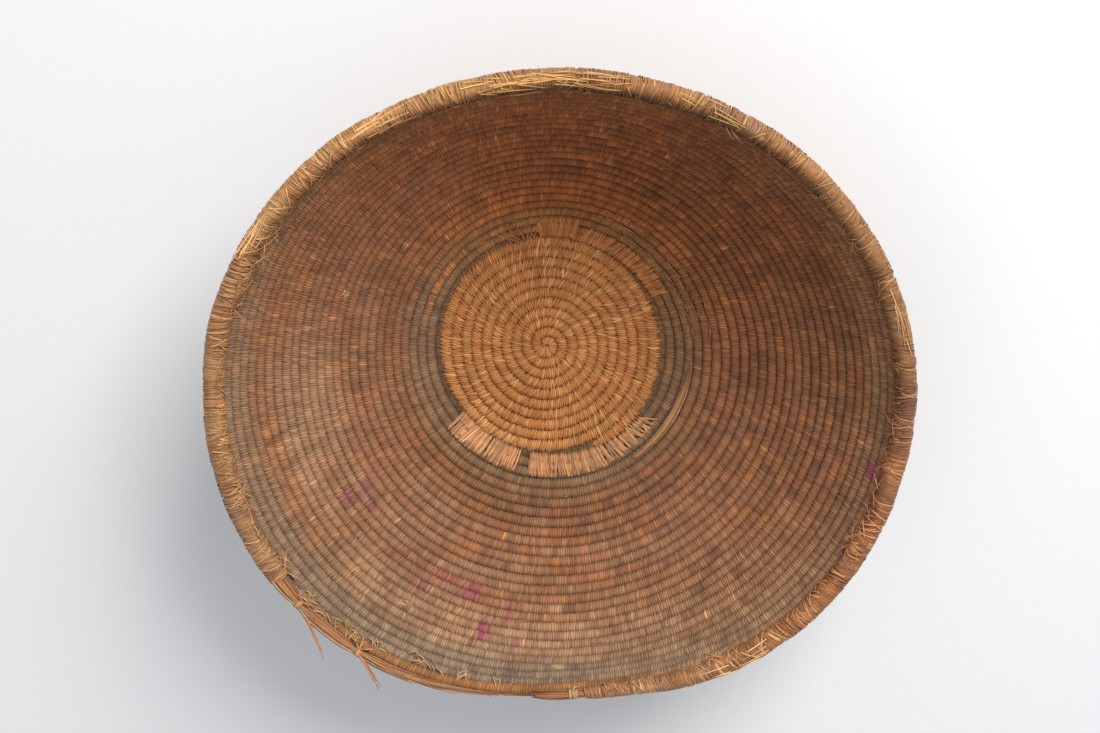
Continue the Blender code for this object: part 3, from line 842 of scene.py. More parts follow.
def rim_tone(phi, rand, rand2):
    """Tone of a rim strip: gold on the left, redder low on the right, pale here and there, with the
    roll's painted shade.
    """
    amber = 0.40 + 0.55 * rim_short(0, phi) + 0.40 * rim_long(0, phi) + 0.55 * (rand - 0.5)
    amber = amber + 0.35 * around(phi, 305, 75) - 0.1 * around(phi, 170, 60)
    tone = mix(GOLD, AMBER, np.clip(amber, 0, 1))
    tone = mix(tone, UMBER, smooth(rand, 0.78, 1.0) * 0.5)
    # stretches gone plum-brown with age
    aged = smooth(rim_long(0, phi + 1.7) + 0.5 * rim_short(0, phi + 0.4), 0.05, 0.9)
    tone = mix(tone, RIM_PLUM, aged * (0.30 + 0.45 * around(phi, 20, 110)))
    tone = mix(tone, STRAW_PALE, smooth(rand2, 0.90, 1.0) * 0.7)
    return tone * rim_shade_and_hue(phi)


def rim_base_layer(start, end, seed):
    """Closely wrapped strips all round the roll, between two distances."""
    ends = start + stitch_ends(end - start, 1.75, seed, jitter=0.35)
    count = len(ends) - 1
    dist, stitch, height = stitch_stations(ends, RIM_STATIONS)
    turn = rim_turn_at(dist)
    point, rise, face, phi = rim_frame(turn)
    along = unit(np.cross(rise, face))
    rng = np.random.default_rng(seed + 5)
    angle = half_step_angles(20)
    theta = angle[None]
    lumps = 0.5 * line_noise(dist - dist[0], seed + 1, 16.0)
    lumps = lumps + 0.3 * line_noise(dist - dist[0], seed + 2, 5.0)
    high = 0.25 + 0.2 * rng.random(count)
    lift = rng.normal(0, 0.12, count)
    radius = rim_radius(turn) - 0.95 + lumps + height * high[stitch] + lift[stitch] * (height > 0)
    radius = radius[:, None] + 0.4 * np.sin(3 * theta + dist[:, None] * 0.05)
    radius = radius + 0.25 * np.sin(5 * theta - dist[:, None] * 0.11)
    # pressed against the last round, so no light shows between them
    inward = np.clip(-np.cos(theta), 0, 1)
    radius = radius + 2.1 * inward ** 3
    lean = 0.16 + 0.05 * rng.standard_normal(count)
    lean = lean + 0.12 * line_noise(ends[:-1] - ends[0], seed + 6, 18.0)
    out_rise = radius * np.cos(theta)
    tilt = lean[stitch][:, None] * out_rise
    rings = rings_on(point, rise, face, out_rise, radius * np.sin(theta))
    rings = rings + tilt[..., None] * along[:, None]
    rand, rand2 = rng.random(count), rng.random(count)
    # painted shade in the gaps between strips, lighter on the end rings
    groove = np.where(height == 0, 0.36, 1.0)
    groove[[0, -1]] = 0.95
    # painted shade on the inner seam, where the roll meets the wall
    light = groove[:, None] * (1 - 0.5 * inward ** 2)
    tint = rim_tone(phi, rand[stitch], rand2[stitch])[:, None] * light[..., None]
    mesh = SweptMesh()
    mesh.sweep(
        rings, tint * bleach_and_light(phi[:, None], theta),
        join(theta * 9, dist[:, None], rand[stitch][:, None] * 50),
    )
    return mesh


def rim_strip(mesh, limits, ident, middle, start, span, lean, width, lift, tone):
    """One strip over the roll from angle `start`, advancing `lean` mm per radian."""
    part = np.linspace(0, 1, 14)
    theta = start + span * part
    dist = middle + lean * (theta - start - span / 2) + 0.35 * np.sin(part * 5 + ident)
    turn = rim_turn_at(np.clip(dist, *limits))
    point, rise, face, phi = rim_frame(turn)
    radius = rim_radius(turn) + lift + 0.1 * np.sin(theta * 3 + ident)
    radius = radius + 0.9 * np.clip(-np.cos(theta), 0, 1) ** 3
    out = np.cos(theta)[:, None] * rise + np.sin(theta)[:, None] * face
    path = point + radius[:, None] * out
    side = unit(np.cross(tangents(path), out))
    # painted shade on the roll's inner side, facing the bowl, most on the upper side
    inner = 1 - (0.22 + 0.10 * around(phi, 90, 110)) * smooth(-np.cos(theta), -0.1, 0.9)
    tint = tone * inner[:, None] * bleach_and_light(phi, theta)
    mesh.ribbon(path, side, out, width, 0.26, tint, ident, taper=0.12)


# node, first and last step round the roll
RIM_SECTIONS = (
    ("rim_binding_left", 0.3, 5.5),
    ("rim_binding_upper_left", 5.5, 10.5),
    ("rim_binding_top", 10.5, 15.5),
    ("rim_binding_upper_right", 15.5, 20.5),
    ("rim_binding_right", 20.5, 25.5),
    ("rim_binding_lower_right", 25.5, 28.5),
)


def rim_section(i, node, first, last):
    start, end = rim_dist_at(first / RIM_STEPS), rim_dist_at(last / RIM_STEPS)
    mesh = rim_base_layer(start, end, 6000 + 20 * i)
    rng = np.random.default_rng(6100 + i)
    limits = start - (1.0 if i == 0 else 6.0), end + (0.5 if i == 5 else 6.0)
    # wound strips, side by side, in runs that share a slant and a tone
    reached, ident = start, 1
    while reached < end:
        run = rng.uniform(5, 20)
        slant, run_tone = rng.normal(0.75, 1.1), rng.random()
        proud = rng.uniform(-0.75, 0.15)
        for middle in np.arange(reached, min(reached + run, end), 1.15):
            rand = np.clip(0.7 * run_tone + 0.3 * rng.random(), 0, 1)
            tone = rim_tone(rim_phi_at(middle), rand, rng.random())
            rim_strip(
                mesh, limits, ident, middle, start=rng.uniform(0, TAU),
                span=rng.uniform(3.4, 5.8), lean=slant + rng.normal(0, 0.15),
                width=rng.uniform(0.9, 2.1), lift=proud + rng.uniform(-0.12, 0.12),
                tone=tone * rng.uniform(0.75, 1.22),
            )
            ident += 1
        reached += run
    # a few strips slipped askew over them
    for k in range(int((end - start) / 4)):
        middle = rng.uniform(start, end)
        phi = rim_phi_at(middle)
        if rng.random() > 0.35 + 0.6 * (0.5 + 0.5 * rim_long(0, phi + 2.0)):
            continue
        tone = mix(GOLD * 1.2, PALE_GOLD, 0.4 * rng.random()) * rim_shade_and_hue(phi)
        rim_strip(
            mesh, limits, 900 + k, middle, start=rng.uniform(-0.6, 2.0),
            span=rng.uniform(1.2, 2.8), lean=rng.normal(0, 4.0), width=rng.uniform(0.7, 2.0),
            lift=rng.uniform(0.0, 0.4), tone=tone * rng.uniform(0.75, 1.15),
        )
    # bursts of frayed strips, mostly along the inner edge
    for k in range(int((end - start) / 34)):
        centre = rng.uniform(start + 6, end - 6)
        hue = 0.12 + 1.1 * rim_shade_and_hue(rim_phi_at(centre))
        lead = rng.normal(0, 3.5)
        for j in range(int(rng.uniform(5, 12))):
            tone = mix(GOLD, PALE_GOLD, 0.5 * rng.random()) * hue
            rim_strip(
                mesh, limits, 2000 + 20 * k + j, centre + rng.normal(0, 3.0),
                start=rng.uniform(0.9, 2.2), span=rng.uniform(0.7, 1.7),
                lean=lead + rng.normal(0, 3.0), width=rng.uniform(0.6, 1.5),
                lift=rng.uniform(0.1, 0.9), tone=tone * rng.uniform(0.75, 1.3),
            )
    mesh.build(node + "_strips", MAT_RIM, node)


# centre and reach in degrees, count
CREST_PATCHES = (
    (88, 13, 60), (118, 5, 14), (152, 5, 12), (60, 5, 8), (305, 6, 10), (10, 6, 8),
)


def crest_straws():
    """Lengthwise straws where the crest's binding has worn through."""
    mesh = SweptMesh()
    rng = np.random.default_rng(6900)
    part = np.linspace(-0.5, 0.5, 14)
    for centre, reach, count in CREST_PATCHES:
        for k in range(count):
            heading = math.radians(centre + rng.uniform(-1, 1) * reach)
            middle = rim_dist_at(rim_turn_of(heading))
            turn = rim_turn_at(middle + rng.uniform(12, 34) * part)
            point, rise, face, phi = rim_frame(turn)
            theta = rng.uniform(-0.5, 1.0) + rng.normal(0, 0.25) * part
            radius = rim_radius(turn) + rng.uniform(-0.1, 0.5)
            out = np.cos(theta)[:, None] * rise + np.sin(theta)[:, None] * face
            tone = mix(STRAW_PALE, GOLD * 1.1, rng.random()) * rim_shade_and_hue(heading)
            tone = tone * rng.uniform(1.0, 1.7) * (0.35 + 0.65 * bleach_and_light(phi, theta))
            path = point + radius[:, None] * out
            mesh.straw(path, rng.uniform(0.3, 0.6), tone, 6000 + k, tip=0.4)
    mesh.build("rim_crest_straws", MAT_BARE, slot="rim_strips")


# ---- the rim's core, a bundle of stems seen wherever the binding gapes
def core_bundle(mesh):
    turn = np.linspace(0.0, RIM_END, 260)
    point, rise, face, _ = rim_frame(turn)
    theta = (TAU * np.arange(32) / 32)[None]
    radius = np.where(turn < RIM_BOUND_END, rim_radius(turn) - 2.3, 2.6)
    radius = radius * (0.45 + 0.55 * smooth(turn, 0.0, 0.016))
    radius = radius * (1 - 0.7 * smooth(turn, RIM_END - 0.010, RIM_END))
    dist = rim_dist_at(turn)[:, None]
    ridges = np.abs(np.cos(8 * theta + 0.012 * dist))
    radius = radius[:, None] * (1 + 0.07 * ridges + 0.03 * np.sin(3 * theta + 0.02 * dist))
    rings = rings_on(point, rise, face, radius * np.cos(theta), radius * np.sin(theta))
    # painted shade in the hollows between the ridges
    tint = RUSSET * 0.8 * (0.45 + 0.6 * ridges)[..., None]
    mesh.sweep(rings, tint, join(dist, theta * 7, 3.0))


def frayed_end(mesh):
    """The roll's foundation bulging out of its binding and running on to the last round."""
    rng = np.random.default_rng(8010)
    part = np.linspace(0, 1, 26)
    for k in range(54):
        turn = np.linspace(0.829, rng.uniform(0.860, 0.8665), 26)
        point, rise, face, _ = rim_frame(turn)
        bulge = 2.4 + 2.4 * np.sin(np.pi * np.clip((turn - 0.8365) / 0.030, 0, 1)) ** 0.7
        bulge = bulge - 1.4 * np.exp(-(((turn - RIM_TIE) / 0.0014) ** 2))
        angle, share = rng.uniform(0, TAU), math.sqrt(rng.uniform(0.15, 1))
        twist = angle + rng.normal(0, 0.5) * part
        radius = share * bulge + 0.35 * np.sin(part * rng.uniform(5, 12) + k)
        sink = 3.2 * smooth(turn, 0.845, 0.866)
        path = point + (radius * np.cos(twist) - sink)[:, None] * rise
        path = path + (radius * np.sin(twist))[:, None] * face
        mesh.random_straw(rng, path, (0.45, 0.85), (RUSSET, AMBER), (0.45, 1.05), 60 + k, tip=0.5)


def thinning_start(mesh):
    """Foundation stems of the roll running on past its binding towards the first tie."""
    rng = np.random.default_rng(8020)
    part = np.linspace(0, 1, 22)
    for k in range(72):
        phi = np.radians(214.5 + rng.uniform(9.0, 13.5) * part)
        angle, share = rng.uniform(0, TAU), math.sqrt(rng.uniform(0.05, 1))
        level = 25.93 - 0.10 * part + 0.66 * (1 - 0.45 * part) * share * math.cos(angle)
        point, _, face = wall_frame(level + 0.03 * np.sin(part * 9 + k), phi, 0.0)
        lift = 6.4 * (1 - 0.5 * part) * share * math.sin(angle) + 0.3 * np.sin(part * 7 + k)
        path = point + face * lift[:, None]
        mesh.random_straw(rng, path, (0.5, 0.95), (RUSSET, AMBER), (0.45, 1.1), 360 + k, tip=0.5)
    # grey-brown stems of the last round showing beside it
    part = np.linspace(0, 1, 14)
    for k in range(30):
        phi = np.radians(217.5 + rng.uniform(0, 3) + rng.uniform(5.0, 9.0) * part)
        level = 25.15 + rng.uniform(-0.3, 0.45) + rng.normal(0, 0.1) * part
        point, _, face = wall_frame(level, phi, 0.0)
        path = point + face * (rng.uniform(-3.0, 3.6) + 0.3 * np.sin(part * 7 + k))[:, None]
        mesh.random_straw(rng, path, (0.5, 0.9), GREY_BROWN, (0.6, 1.2), 450 + k, tip=0.5)
    # and the hollow they leave beside the last round
    part = np.linspace(0, 1, 12)
    for k in range(34):
        phi = np.radians(216 + rng.uniform(0, 7) + rng.uniform(6, 11) * part)
        point, _, face = wall_frame(rng.uniform(25.32, 25.62) + 0 * phi, phi, 0.0)
        path = point + face * (rng.uniform(-2.2, 1.6) + 0.3 * np.sin(phi * 30 + k))[:, None]
        mesh.random_straw(rng, path, (0.6, 0.95), AMBER, (0.4, 0.85), 500 + k, tip=0.5)
    # cut stem ends filling the mouth of the binding
    mouth = rim_dist_at(RIM_SECTIONS[0][1] / RIM_STEPS)
    for k in range(110):
        angle = rng.uniform(0, TAU)
        radius = rng.uniform(4.2, 7.6) + 2.1 * max(0.0, -math.cos(angle)) ** 3
        dist = mouth + np.linspace(rng.uniform(-2.4, 0.4), 10.0, 8)
        point, rise, face, _ = rim_frame(rim_turn_at(dist))
        path = point + radius * (math.cos(angle) * rise + math.sin(angle) * face)
        mesh.random_straw(rng, path, (0.65, 0.95), RUSSET, (0.4, 0.85), 600 + k, tip=0.8)


def rim_core():
    mesh = SweptMesh()
    core_bundle(mesh)
    frayed_end(mesh)
    thinning_start(mesh)
    mesh.build("rim_core_stems", MAT_BARE, "rim_core_bundle")


# ---- bare bundle where the binding is lost; `part` runs 0..1 along it
TIE_UPPER, TIE_LOWER = 0.061, 0.3665
# broken stems: part along the bundle, degrees outwards, reach, count
BROKEN_STEMS = ((TIE_UPPER, 21, 55, 3), (TIE_LOWER, 33, 43, 5), (0.62, 16, 26, 2), (0.9, 20, 10, 1))


def bundle_axis(part):
    phi = RIM_START - math.radians(0.2) + math.radians(44.2) * part
    level = 26.32 - 0.37 * np.maximum(0.0, (part - 0.5) / 0.5)
    return slope_frame(*section(level, phi), slope(level, phi), phi)


def pinch(part):
    """Narrowing of the bundle at its two ties."""
    upper = np.exp(-(((part - TIE_UPPER) / 0.04) ** 2))
    return 1 - 0.5 * upper - 0.5 * np.exp(-(((part - TIE_LOWER) / 0.045) ** 2))


def bare_bundle():
    mesh = SweptMesh()
    rng = np.random.default_rng(8080)
    for k in range(84):
        rand = rng.random()
        end = rng.uniform(0.72, 1.03)
        if rng.random() < 0.3:
            end = rng.uniform(0.42, 0.75)
        part = np.linspace(-0.08, end, 44)
        angle, share = rng.uniform(0, TAU), math.sqrt(rng.random())
        spread = 5.9 * (1 - 0.84 * np.clip(part, 0, 1.05) ** 1.6) * pinch(part)
        point, rise, face = bundle_axis(part)
        wave = 0.45 * np.sin(part * rng.uniform(8, 18) + rand * 9)
        wave = wave * np.clip(pinch(part) * 2 - 1, 0.1, 1)
        # stems that end early spring away from the bundle
        free = smooth(part, end - 0.22, end + 0.05) * (4.5 * rng.random() if end < 0.8 else 0.8)
        out_rise = share * math.cos(angle) * spread + wave + free * math.cos(angle)
        out_face = share * math.sin(angle) * spread + free * abs(math.sin(angle)) * 0.6
        out_face = out_face + 0.35 * np.cos(part * 13 + rand * 7) * pinch(part)
        path = point + out_rise[:, None] * rise + out_face[:, None] * face
        tone = mix(RUSSET, GOLD, 0.6 * rand) * rng.uniform(0.45, 1.05)
        if rng.random() < 0.13:
            tone = STRAW_PALE * 0.85
        mesh.straw(path, rng.uniform(0.4, 0.8), tone, 100 + k, tip=0.4)
    # stems broken out at the ties and beyond, pointing past the rim
    part = np.linspace(0, 1, 16)[:, None]
    for place, out_deg, reach, count in BROKEN_STEMS:
        point, rise, face = bundle_axis(place)
        along = unit(bundle_axis(place + 0.02)[0] - point)
        for j in range(count):
            angle = math.radians(out_deg + rng.normal(0, 2.5))
            heading = math.cos(angle) * along + math.sin(angle) * rise
            heading = heading + rng.normal(0, 0.05) * face
            path = point + heading * part * reach * rng.uniform(0.75, 1.05)
            path = path + rng.normal(0, 0.9) * rise + rng.normal(0, 0.9) * face
            path = path + face * 1.5 * np.sin(part * 3)
            mesh.random_straw(rng, path, (0.6, 1.0), RUSSET, (0.7, 1.1), 240 + j, tip=0.5)
    mesh.build("rim_bare_stems", MAT_BARE, "rim_bare_straw_bundle")


def tie(node, point, rise, face, radius, count, seed, tone):
    """Strips wound round a bundle, and their loose ends."""
    mesh = SweptMesh()
    rng = np.random.default_rng(seed)
    along = unit(np.cross(rise, face))
    for k in range(count):
        start, end = -178 + rng.uniform(-15, 15), 178 + rng.uniform(-15, 15)
        theta = np.radians(np.linspace(start, end, 22))
        reach = radius + rng.uniform(-0.3, 0.7)
        advance = rng.uniform(-2.6, 2.6) + rng.uniform(-1.6, 1.6) * np.sin(theta / 2 + k)
        out = np.cos(theta)[:, None] * rise + np.sin(theta)[:, None] * face
        path = point + reach * out + advance[:, None] * along
        side = unit(np.cross(tangents(path), out))
        width = rng.uniform(1.2, 2.3)
        mesh.ribbon(path, side, out, width, 0.3, tone * rng.uniform(0.75, 1.2), seed + k)
    # the knot's loose ends
    part = np.linspace(0, 1, 12)[:, None]
    for k in range(5):
        heading = face * rng.uniform(0.3, 1.0) + along * rng.uniform(-1, 1)
        heading = unit(heading + rise * rng.uniform(-0.9, 0.2))
        path = point + radius * 0.9 * unit(face * 0.8 - rise * 0.3)
        path = path + heading * part * rng.uniform(7, 16) + face * (-2.5 * part * part)
        side = unit(np.cross(heading, face))
        up = unit(np.cross(side, heading))
        width = rng.uniform(1.0, 1.9)
        mesh.ribbon(path, side, up, width, 0.28, tone * rng.uniform(0.8, 1.3), seed + 30 + k)
    mesh.build(node + "_strips", MAT_LASH, node)


for index, row in enumerate(RIM_SECTIONS):
    rim_section(index, *row)
crest_straws()
rim_core()
bare_bundle()
BUNDLE_TIE_TONE = RUSSET * 0.5 + GOLD * 0.6
tie("rim_tie_upper", *bundle_axis(TIE_UPPER), radius=3.7, count=12, seed=8200, tone=BUNDLE_TIE_TONE)
tie("rim_tie_lower", *bundle_axis(TIE_LOWER), radius=3.4, count=12, seed=8300, tone=BUNDLE_TIE_TONE)
tie("rim_tie_right", *rim_frame(RIM_TIE)[:3], radius=4.3, count=9, seed=8400,
    tone=STRAW_PALE * 0.45 + GOLD * 0.5)


# ------------------------------------------------------------------ lashings
# Each group: name, seed, then runs of
# (start, end in degrees, inner, outer from the foot, pitch, width, two tones,
#  raggedness of the ends, mess of the directions, share missing, lean)
LASHINGS = (
    ("upper_right", 9100, (
        (25, 76, -7.5, 11.0, 1.7, 2.7, (COPPER * 1.15, BRIGHT), 1.5, 0.014, 0.01, -0.03),)),
    ("top", 9200, (
        (75.5, 93, -6.5, 16.5, 1.8, 2.9, (BRIGHT * 1.1, COPPER * 1.2), 0.8, 0.006, 0.0, 0.0),)),
    ("thin", 9300, (
        (93.5, 110, -5.0, 12.5, 2.0, 0.9, (GOLD * 1.3, BRIGHT * 1.2), 4.0, 0.2, 0.1, -0.16),)),
    ("lower_left", 9400, (
        (219, 256, -9.5, 14.0, 2.1, 3.1, (BLUSH * 1.3, CLAY * 1.25), 1.6, 0.01, 0.01, -0.02),)),
    ("bottom", 9500, (
        (261, 296, -9.5, 14.5, 2.1, 3.1, (CLAY * 1.2, BLUSH * 1.1), 1.2, 0.008, 0.01, 0.0),
        (296, 323, -7.5, 12.0, 2.0, 2.8, (BLUSH * 1.2, CLAY * 1.2), 2.6, 0.03, 0.08, 0.05))),
)
LASHING_RADIUS = 124.0  # where the pitch is measured


def foot_top(radius, phi):
    """Height of the top of the coils near the wall's foot."""
    lean = slope(0.5, phi)
    wall = FOOT_Z + np.tan(lean) * (radius - foot_radius(phi)) + 4.75 / np.cos(lean)
    return np.maximum(9.2, wall)


def lash_strips(mesh, rng, seed, start, end, inner, outer, pitch, width, tones, ragged, mess,
                missing, lean):
    count = int(abs(end - start) * math.pi / 180 * LASHING_RADIUS / pitch)
    reach = line_noise(np.arange(count), seed + 3, 3.5)
    sway = line_noise(np.arange(count), seed + 4, 4.0)
    part = np.linspace(0, 1, 16)
    for k in range(count):
        if rng.random() < missing:
            continue
        place = (k + 0.5 + rng.uniform(-0.18, 0.18)) / count
        heading = math.radians(start + (end - start) * place)
        foot = foot_radius(heading)
        first = foot + inner + rng.uniform(-ragged, 0.4)
        last = foot + outer + ragged * (0.7 * reach[k] + rng.uniform(-0.5, 0.5))
        radius = first + (last - first) * part
        phi = heading + (lean + 0.035 * sway[k] + rng.normal(0, mess)) * (part - 0.3)
        phi = phi + 0.003 * np.sin(part * 4 + k)
        # it sags over the rounds below and dives in at both ends
        z = foot_top(radius, phi) + 0.5 + rng.uniform(0, 0.45)
        z = z - 0.5 * np.cos((radius - foot) / PITCH * TAU)
        z = z - 3.0 * smooth(part, 0.9, 1.0) - 3.0 * (1 - smooth(part, 0.0, 0.12))
        path = polar(radius, phi, z)
        tangent = tangents(path)
        across = polar(1.0, phi + math.pi / 2, 0.0)
        up = unit(np.cross(across, tangent))
        up = up * np.sign(up[:, 2:3] + 1e-9)
        twist = rng.normal(0, 0.2)
        side = unit(across * math.cos(twist) + up * math.sin(twist))
        normal = unit(np.cross(tangent, side))
        normal = normal * np.sign(np.sum(normal * up, 1, keepdims=True))
        tone = mix(*tones, rng.random()) * rng.uniform(0.7, 1.25)
        # painted shade where the strip dives in at both ends
        ends = 1 - 0.35 * (1 - smooth(part, 0, 0.2)) - 0.25 * smooth(part, 0.8, 1)
        wide = width * rng.uniform(0.75, 1.2)
        mesh.ribbon(path, side, normal, wide, 0.55, tone * ends[:, None], seed + k, taper=0.1)


def lashing(name, seed, runs):
    mesh = SweptMesh()
    rng = np.random.default_rng(seed)
    for i, run in enumerate(runs):
        lash_strips(mesh, rng, seed + 500 * i, *run)
    mesh.build("lashing_%s_strips" % name, MAT_LASH, "base_lashing_" + name)


def edge_stitch_ends():
    """Stitch ends standing out round the disc's edge."""
    mesh = SweptMesh()
    rng = np.random.default_rng(9550)
    part = np.linspace(0, 1, 8)[:, None]
    for k in range(620):
        phi = math.radians(rng.uniform(0, 360))
        # most at the right and at the left
        if rng.random() > 0.25 + 0.75 * max(around(phi, 350, 50), around(phi, 165, 50)):
            continue
        point, rise, face, _ = base_points(outermost_turn(phi))
        along = unit(np.cross(rise, face))
        angle = rng.normal(0.1, 0.3)
        heading = rise * math.cos(angle) + along * math.sin(angle)
        tone = mix(GOLD * 1.1, BRIGHT, rng.random())
        path = point + rise * 1.8 + face * (4.5 - 2.4 * part ** 1.8)
        path = path + heading * part * rng.uniform(3.2, 7.2) + along * rng.normal(0, 0.5)
        mesh.random_straw(rng, path, (0.4, 0.85), tone, (0.75, 1.35), 7000 + k, tip=0.5, sides=5)
    # stems closing the hollow past the disc's last stitch
    part = np.linspace(0, 1, 10)
    for k in range(95):
        phi = np.radians(rng.uniform(274, 290) + rng.uniform(6, 12) * part)
        radius = rng.uniform(102.5, 119)
        z = rng.uniform(1.8, 5.2 if radius > 106.5 else 3.0) + 0.2 * np.sin(phi * 20 + k)
        path = polar(radius, phi, z)
        mesh.random_straw(rng, path, (0.7, 1.1), AMBER, (0.4, 0.9), 7800 + k, tip=0.5)
    # the frame may have no slot for lashing strips
    slot = "lashing_strips" if "lashing_strips" in SLOT_OF.values() else "bare_straw"
    mesh.build("base_edge_stitch_ends", MAT_LASH, slot=slot)


def exposed_core():
    """Foundation straws lying bare on the right."""
    mesh = SweptMesh()
    rng = np.random.default_rng(9600)
    for k in range(34):
        start, end = rng.uniform(-0.02, 0.3), rng.uniform(0.62, 1.02)
        part = np.linspace(start, end, 30)
        phi = np.radians(-54 + 48 * part)
        spread = np.sin(np.pi * np.clip(0.10 + 0.80 * part, 0, 1)) ** 0.8
        fan = rng.uniform(-0.42, 0.30) * spread + rng.normal(0, 0.1) * (part - 0.5)
        point, _, face = wall_frame(2.15 + 0.25 * part + fan, phi)
        lift = 5.6 + rng.uniform(0.0, 2.6) * spread + 0.3 * np.sin(part * 9 + k)
        path = point + face * lift[:, None]
        tone = mix(COPPER, PALE_GOLD, rng.random() ** 2)
        mesh.random_straw(rng, path, (0.42, 0.78), tone, (0.55, 1.35), 300 + k, tip=0.3)
    mesh.build("exposed_core_stems", MAT_BARE, "exposed_core_strand")


def worn_fibres():
    """Fibres worn loose along the first rounds, mostly at the upper right."""
    mesh = SweptMesh()
    rng = np.random.default_rng(9650)
    part = np.linspace(-0.5, 0.5, 9)
    for k in range(230):
        if k < 130:
            start, deg = rng.uniform(1.6, 4.6), rng.uniform(5, 68)
        elif k < 180:
            start, deg = rng.uniform(1.0, 2.6), rng.uniform(98, 165)
        else:
            start, deg = rng.uniform(3.0, 24.0), rng.uniform(0, 360)
        length = rng.uniform(4, 15)
        heading = math.radians(deg)
        phi = heading + length * part / section(start, heading)[0]
        # near the crown of the nearest round
        level = round(start - 0.5 + deg / 360.0) + 0.5 - deg / 360.0
        level = level + rng.uniform(-0.3, 0.3) + rng.normal(0, 0.12) * part
        point, _, face = wall_frame(level, phi)
        turn = level - 0.5 + deg / 360.0
        crown = 4.9 * np.sqrt(np.clip(1 - ((turn - np.round(turn)) / 0.53) ** 2, 0.15, 1))
        path = point + face * (crown + 0.35 + 0.5 * np.abs(part))[:, None]
        mesh.random_straw(
            rng, path, (0.22, 0.5), (GOLD, COPPER), (0.7, 1.2), 1300 + k, tip=0.4, sides=5
        )
    mesh.build("wall_worn_fibres", MAT_BARE, slot="bare_straw")


for row in LASHINGS:
    lashing(*row)
edge_stitch_ends()
exposed_core()
worn_fibres()

# ------------------------------------------------------------------ loose ends
# clumps where a binding strip has burst: centre, reach in degrees, count, paleness
FRAY_CLUMPS = (
    (150, 4, 26, 0.7), (162, 3, 10, 0.3), (100, 3, 9, 0.6), (55, 1.2, 5, 0.5), (29, 4, 10, 0.4),
    (352, 10, 30, 0.35), (335, 8, 22, 0.35), (200, 9, 22, 0.5), (213, 5, 16, 0.5),
    (86, 5, 12, 0.6), (301, 6, 14, 0.3),
)
FRAY_LAST_TURN = 0.862


def rim_fray(mesh, rng, ident, deg, theta, length, radius, tone, along_by=None, drop=0.0):
    """A loose end rising from the roll at deg, theta radians round its section."""
    turn = rim_turn_of(math.radians(deg))
    if turn > FRAY_LAST_TURN:
        return
    point, rise, face, _ = rim_frame(turn)
    along = unit(np.cross(rise, face))
    out = math.cos(theta) * rise + math.sin(theta) * face
    if along_by is None:
        along_by = rng.choice([-1.0, 1.0])
    heading = along * along_by * rng.uniform(0.6, 1.0) + out * rng.uniform(0.02, 0.45)
    heading = unit(heading - rise * drop)
    part = np.linspace(0, 1, 12)[:, None]
    curl = unit(np.cross(heading, out) * rng.uniform(-1, 1) - out * rng.uniform(0.0, 0.8))
    path = point + (rim_radius(turn) - 0.3) * out + heading * part * length
    path = path + curl * (part ** 2) * length * rng.uniform(0.05, 0.35)
    mesh.straw(path, radius, tone, ident, tip=0.25, sides=5)


def rim_loose_ends():
    mesh = SweptMesh()
    rng = np.random.default_rng(9700)
    for k in range(420):
        deg = rng.uniform(-82, 216)
        phi = math.radians(deg)
        if rng.random() > 0.30 + 0.6 * rim_long(0, phi + 4.0):
            continue
        theta = rng.uniform(2.0, 3.3) if rng.random() < 0.62 else rng.uniform(0.2, 2.0)
        length = rng.uniform(4, 14) * (2.2 if rng.random() < 0.07 else 1)
        tone = mix(GOLD, AMBER, rng.random()) * rim_shade_and_hue(phi)
        rim_fray(mesh, rng, 500 + k, deg, theta, length, radius=rng.uniform(0.2, 0.42),
                 tone=tone * rng.uniform(0.7, 1.4))
    for i, (centre, reach, count, pale) in enumerate(FRAY_CLUMPS):
        for k in range(count):
            tone = mix(GOLD, PALE_GOLD, pale * rng.random()) * rng.uniform(0.8, 1.2)
            rim_fray(
                mesh, rng, 3000 + 50 * i + k, centre + rng.normal(0, 0.5) * reach,
                theta=rng.uniform(1.2, 3.2), length=rng.uniform(6, 20),
                radius=rng.uniform(0.25, 0.5),
                tone=tone * (0.15 + rim_shade_and_hue(math.radians(centre))), drop=rng.uniform(0, 0.8),
            )
    # long strands hanging down the wall, upper right
    for k in range(3):
        rim_fray(mesh, rng, 4000 + k, 56 + k * 0.4, theta=2.8, length=26 - 5 * k, radius=0.5,
                 tone=STRAW_PALE * 0.8, along_by=0.12, drop=1.6)
    mesh.build("rim_loose_ends", MAT_BARE, slot="rim_strips")


# level, degrees, reach in degrees, count
STUB_CLUMPS = (
    (25.4, 223.5, 2.2, 16), (25.2, 229.0, 2.5, 8), (25.3, 234.0, 2.2, 18), (24.9, 238.0, 1.5, 8),
    (24.2, 245.5, 1.2, 8), (24.4, 254.5, 2.0, 8), (24.6, 249.5, 2.0, 5), (24.5, 262.0, 3.0, 5),
)


